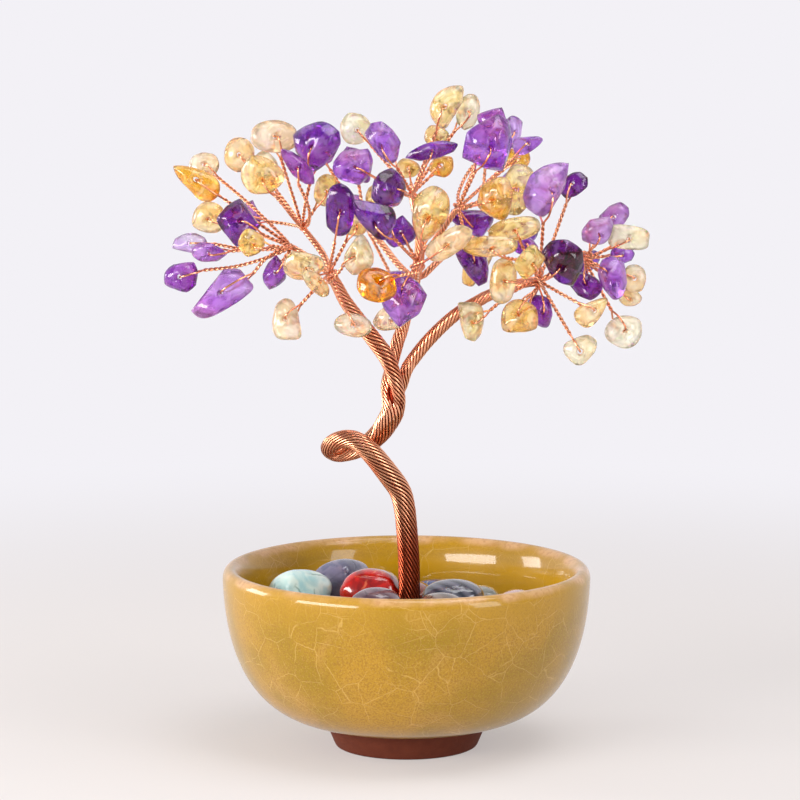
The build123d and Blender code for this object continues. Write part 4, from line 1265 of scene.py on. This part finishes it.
@dataclass
class Spray:
    """The stems that spring from one knot, with their chips."""

    name: str
    knot: tuple[float, float, float]
    tints: dict[str, tuple[float, ...]]
    strand: float = 0.25
    pitch: float = 2.5
    spread: float = 0.5
    points_a_turn: int = 7
    wear: dict[str, Wear] = field(
        default_factory=lambda: {
            "amethyst": Wear(1.05, (-0.2, 0.8), 5.0, 0.5),
            "citrine": Wear(1.09, (-0.35, 0.5), 5.0, 0.5),
        }
    )

    def stems(self) -> list[Stem]:
        """Reads the course of every stem from its CAD solid.

        Returns:
            The stems.
        """
        mesh = bmesh.new()
        mesh.from_mesh(frame["nodes"][self.name + "_stems"].data)
        bmesh.ops.remove_doubles(mesh, verts=mesh.verts, dist=TOUCHING)
        mesh.verts.index_update()
        knot = Vector(self.knot) * MM
        left = list(mesh.verts)
        found = []
        while left:
            part = edge = {left[0]}
            while edge:
                edge = joined_to(edge) - part
                part = part | edge
            left = [v for v in left if v not in part]
            ends = sorted(part, key=lambda v: ((v.co - knot).length, v.index))
            found.append(self._course(next(rings for v in ends for rings in self._rings(v))))
        mesh.free()
        return sorted(found, key=lambda stem: tuple(stem.course[-1]))

    @staticmethod
    def _rings(end: Corner) -> Iterable[list[set[Corner]]]:
        """Follows a stem's rings of corners from its root, if a corner is part of that.

        Args:
            end: the corner.

        Yields:
            The rings.
        """
        near = joined_to([end])
        near |= joined_to(near) - {end}
        nearest = sorted(near, key=lambda v: ((v.co - end.co).length, v.index))
        for others in combinations(nearest, RING_SIZES[0] - 1):
            rings = [{end, *others}]
            seen = set(rings[0])
            while rings[-1]:
                ring = joined_to(rings[-1]) - seen
                seen |= ring
                rings.append(ring)
            if [len(ring) for ring in rings] == RING_SIZES:
                yield rings

    @staticmethod
    def _course(rings: list[set[Corner]]) -> Stem:
        """Reads the course of a stem from its rings.

        Args:
            rings: the rings, from the root to the chip.

        Returns:
            The stem's course.
        """

        def middle(ring: set[Corner]) -> Vector:
            """The middle of a ring, in millimetres."""
            spots = [v.co for v in sorted(ring, key=lambda v: v.index)]
            return sum(spots, Vector()) / len(spots) / MM

        last = rings[5]
        legs = rings[4] & joined_to(last)
        one = {min(legs, key=lambda v: (v.co.y, v.index))}
        for _ in legs:
            one |= legs & joined_to(one)
        two = legs - one
        front = [middle(one), middle(last & joined_to(one))]
        back = [middle(last & joined_to(two)), middle(two)]
        return Stem([middle(ring) for ring in rings[:4]], front, back)

    def wire(self, stem: Stem, dice: random.Random) -> tuple[list[Vector], Line]:
        """The path of the one wire of a stem: up, through its chip, and back down.

        Args:
            stem: the stem's course.
            dice: what its start is moved about by.

        Returns:
            The points of the wire, and the line that its two halves are twisted round.
        """
        scatter = Vector([dice.uniform(-self.spread, self.spread) for _ in range(3)])
        start = Vector(self.knot) + scatter
        rows = [(*spot, self.strand) for spot in [start, *stem.course]]
        line = Line.through(rows, self.pitch / self.points_a_turn)
        line.widths = [2 * self.strand] * len(line.points)
        normal, beside = line.frames(UPWARDS)[-1]
        lean = stem.front[0] - stem.back[-1]
        rate = -math.tau / self.pitch
        angle = math.atan2(lean.dot(beside), lean.dot(normal)) - rate * line.length()
        up = line.wound(angle, rate, self.strand, UPWARDS)
        down = line.wound(angle + math.pi, rate, self.strand, UPWARDS)
        through = (stem.front[1] + stem.back[0]) / 2
        return [*up, *stem.front, through, *stem.back, *down[::-1]], line

    def build(self, copper: Material, gems: dict[str, Material]) -> None:
        """Twists the stems and rounds the chips.

        Args:
            copper: the wires' metal.
            gems: the chips' materials by the name of their stone.
        """
        dice = random.Random(self.name)
        made = [self.wire(stem, dice) for stem in self.stems()]
        wires = drawn(self.name + "_twisted_wires", [path for path, _ in made], self.strand)
        # Painted shade on the sides of each twisted pair
        mark_groove_shade(wires, bundle_gauge([line for _, line in made], 2 * self.strand))
        dress(wires, copper, COPPER_SLOT, self.name + "_stems")
        for stone, tints in self.tints.items():
            node = f"{self.name}_{stone}_chips"
            chips = copied(node, node + "_tumbled")
            self._tint(chips, tints)
            tumbled(chips, self.wear[stone])
            dress(chips, gems[stone], stone, node)

    @staticmethod
    def _tint(chips: Piece, tints: Sequence[float]) -> None:
        """Gives each chip, from left to right, its depth of colour."""
        tint = chips.data.attributes.new("chip_tint", "FLOAT", "POINT")
        for part, depth in zip(loose_parts(chips), tints, strict=True):
            for v in part:
                tint.data[v].value = depth


# What each spray springs from, and how deep its amethysts and citrines are in colour, from the left
SPRAYS = {
    "far_left": ("far_left_twig", (0.6, 0.1, 0.5, 0.38, 0.88, 0.6), (0.75, 0.2, 0.35, 0.55)),
    "upper_left": ("upper_left_twig", (0.5, 0.6, 0.75), (0.3, 0.4, 0.5, 0.12, 0.5)),
    "mid_left": ("left_branch", (0.8,), (0.08, 0.4, 0.35, 0.45, 0.12, 0.4, 0.25)),
    "top": ("centre_branch", (0.5, 0.45, 0.9, 0.85), (0.2, 0.45, 0.5, 0.75, 0.35, 0.3)),
    "upper_right": ("upper_right_twig", (0.8, 0.8, 0.6, 0.6, 0.3, 0.45), (0.6, 0.5, 0.75)),
    "front": ("front_twig", (0.9, 0.8, 0.5), (1.0, 0.25, 0.5, 0.2)),
    "right": (
        "right_branch",
        (0.6, 0.75, 0.3, 1.0, 0.9),
        (0.4, 0.45, 0.35, 0.4, 0.5, 0.4, 0.5, 0.3, 0.3),
    ),
    "far_right": ("far_right_twig", (0.8, 0.6, 0.2, 0.5, 0.35, 0.5), (0.3, 0.1, 0.3, 0.25, 0.15)),
    "rear_left": ("rear_left_twig", (0.6, 0.45, 0.7, 0.55), (0.45,)),
    "rear_right": ("rear_right_twig", (0.65, 0.5, 0.75), (0.35, 0.5, 0.3)),
}


@dataclass(frozen=True)
class Lamp:
    """A soft lamp that faces the tree: its place and size in millimetres, its watts and tint."""

    name: str
    place: Place
    size: tuple[float, float]
    power: float
    tint: tuple[float, float, float]
    aim: Place = (0.0, 0.0, 80.0)

    def build(self) -> None:
        """Hangs the lamp and turns it to the tree."""
        spot = Vector(self.place) * MM
        lamp = added(self.name, bpy.ops.object.light_add, type="AREA", location=spot)
        lamp.data.shape = "RECTANGLE"
        lamp.data.size, lamp.data.size_y = (length * MM for length in self.size)
        lamp.data.energy = self.power
        lamp.data.color = self.tint
        way = Vector(self.aim) * MM - lamp.location
        lamp.rotation_euler = way.to_track_quat("-Z", "Y").to_euler()


LAMPS = (
    Lamp("window", (-560, -470, 215), (540, 210), 5.7, (1.0, 0.985, 0.96)),
    Lamp("side_window", (-680, 190, 215), (240, 210), 1.8, (1.0, 0.99, 0.97)),
    Lamp("overhead", (160, -120, 640), (420, 420), 2.2, (0.98, 0.99, 1.0)),
    Lamp("tall_window", (560, -480, 260), (240, 440), 1.9, (1.0, 1.0, 1.0)),
)


@dataclass
class Studio:
    """The pale floor, the soft light and the camera, which stands where the photograph's did."""

    floor_size: float = 80_000.0
    distance: float = 800.0
    pitch: float = 7.48
    aim: Place = (-1.61, 0.0, 86.9)
    lens: float = 145.57
    sensor: float = 36.0
    white: Colour = (243, 241, 246)
    soft: Colour = (249.313, 250.464, 255)
    dim: Colour = (243.444, 245.814, 255)

    def build(self) -> None:
        """Sets up the floor, the lamps, the world and the camera."""
        floor = added("floor", bpy.ops.mesh.primitive_plane_add, size=self.floor_size * MM)
        coat(floor, PaleCard().build())
        floor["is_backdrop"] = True
        for lamp in LAMPS:
            lamp.build()
        self._world()
        self._camera()

    def _world(self) -> None:
        """Makes the surroundings pale, and plain white to the camera, metal and glass."""
        world = bpy.data.worlds.new("studio")
        world.use_nodes = True
        world.node_tree.nodes.clear()
        bpy.context.scene.world = world
        bench = Bench(world)

        def glow(colour: Colour, strength: float) -> Socket:
            """An even light of a colour and strength."""
            sockets = {"Color": colour, "Strength": strength}
            return bench.add("ShaderNodeBackground", None, sockets).outputs[0]

        camera, glossy, through = bench.rays("Camera", "Glossy", "Transmission")
        clear = camera.most(through)
        behind = bench.axes(bench.place("Generated"))[1].rise(-0.35, 0.45).most(clear)
        shown = bench.between(behind, glow(self.dim, 0.25), glow(self.white, 1.0))
        sky = bench.between(clear.most(glossy), glow(self.soft, 0.45), shown)
        bench.add("ShaderNodeOutputWorld", None, {0: sky})
        bpy.context.scene.view_settings.view_transform = "Standard"

    def _camera(self) -> None:
        """Puts the camera where the photograph was taken from."""
        tilt = math.radians(self.pitch)
        away = Vector((0, -math.cos(tilt), math.sin(tilt))) * self.distance
        place = (Vector(self.aim) + away) * MM
        turn = (math.pi / 2 - tilt, 0, 0)
        camera = added("Camera", bpy.ops.object.camera_add, location=place, rotation=turn)
        camera.data.sensor_width = self.sensor
        camera.data.lens = self.lens
        camera.data.clip_start = 0.01
        bpy.context.scene.camera = camera


# The deepest amethyst tint is a dark, brownish red
GEMS = (
    GemChip(
        "amethyst",
        (
            (0.0, (234, 222, 246)),
            (0.25, (214, 180, 236)),
            (0.5, (182, 112, 222)),
            (0.72, (144, 56, 202)),
            (0.9, (112, 26, 164)),
            (1.0, (70, 24, 34)),
        ),
        cloud=(206, 160, 226),
        edge=(180, 130, 196),
        warmth=(255, 214, 214),
        haze=0.20,
    ),
    GemChip(
        "citrine",
        (
            (0.0, (252, 251, 246)),
            (0.25, (255, 244, 210)),
            (0.5, (255, 228, 144)),
            (0.75, (252, 202, 74)),
            (1.0, (234, 150, 0)),
        ),
        cloud=(255, 246, 226),
        edge=(238, 182, 100),
        warmth=(255, 230, 206),
        haze=0.18,
    ),
)


def main() -> None:
    """Builds the ornament piece by piece and puts it in the studio."""
    logging.basicConfig(level=logging.INFO)
    ClayBowl().build(CrackleGlaze().build())
    coat(frame["nodes"]["plaster_fill"], Plaster().build())
    StoneBed().build()
    copper = CopperWire().build()
    tree = WireTree(copper)
    tree.build()
    knots = tree.knots()
    gems = {gem.name: gem.build() for gem in GEMS}
    for name, (bundle, amethyst, citrine) in SPRAYS.items():
        tints = {"amethyst": amethyst, "citrine": citrine}
        Spray(name, knots[bundle], tints).build(copper, gems)
    Studio().build()
    boxes = {"cad": cad_box, "visual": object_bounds()}
    {key: [list(map(float, corner)) for corner in box] for key, box in boxes.items()}


if __name__ == "__main__":
    main()
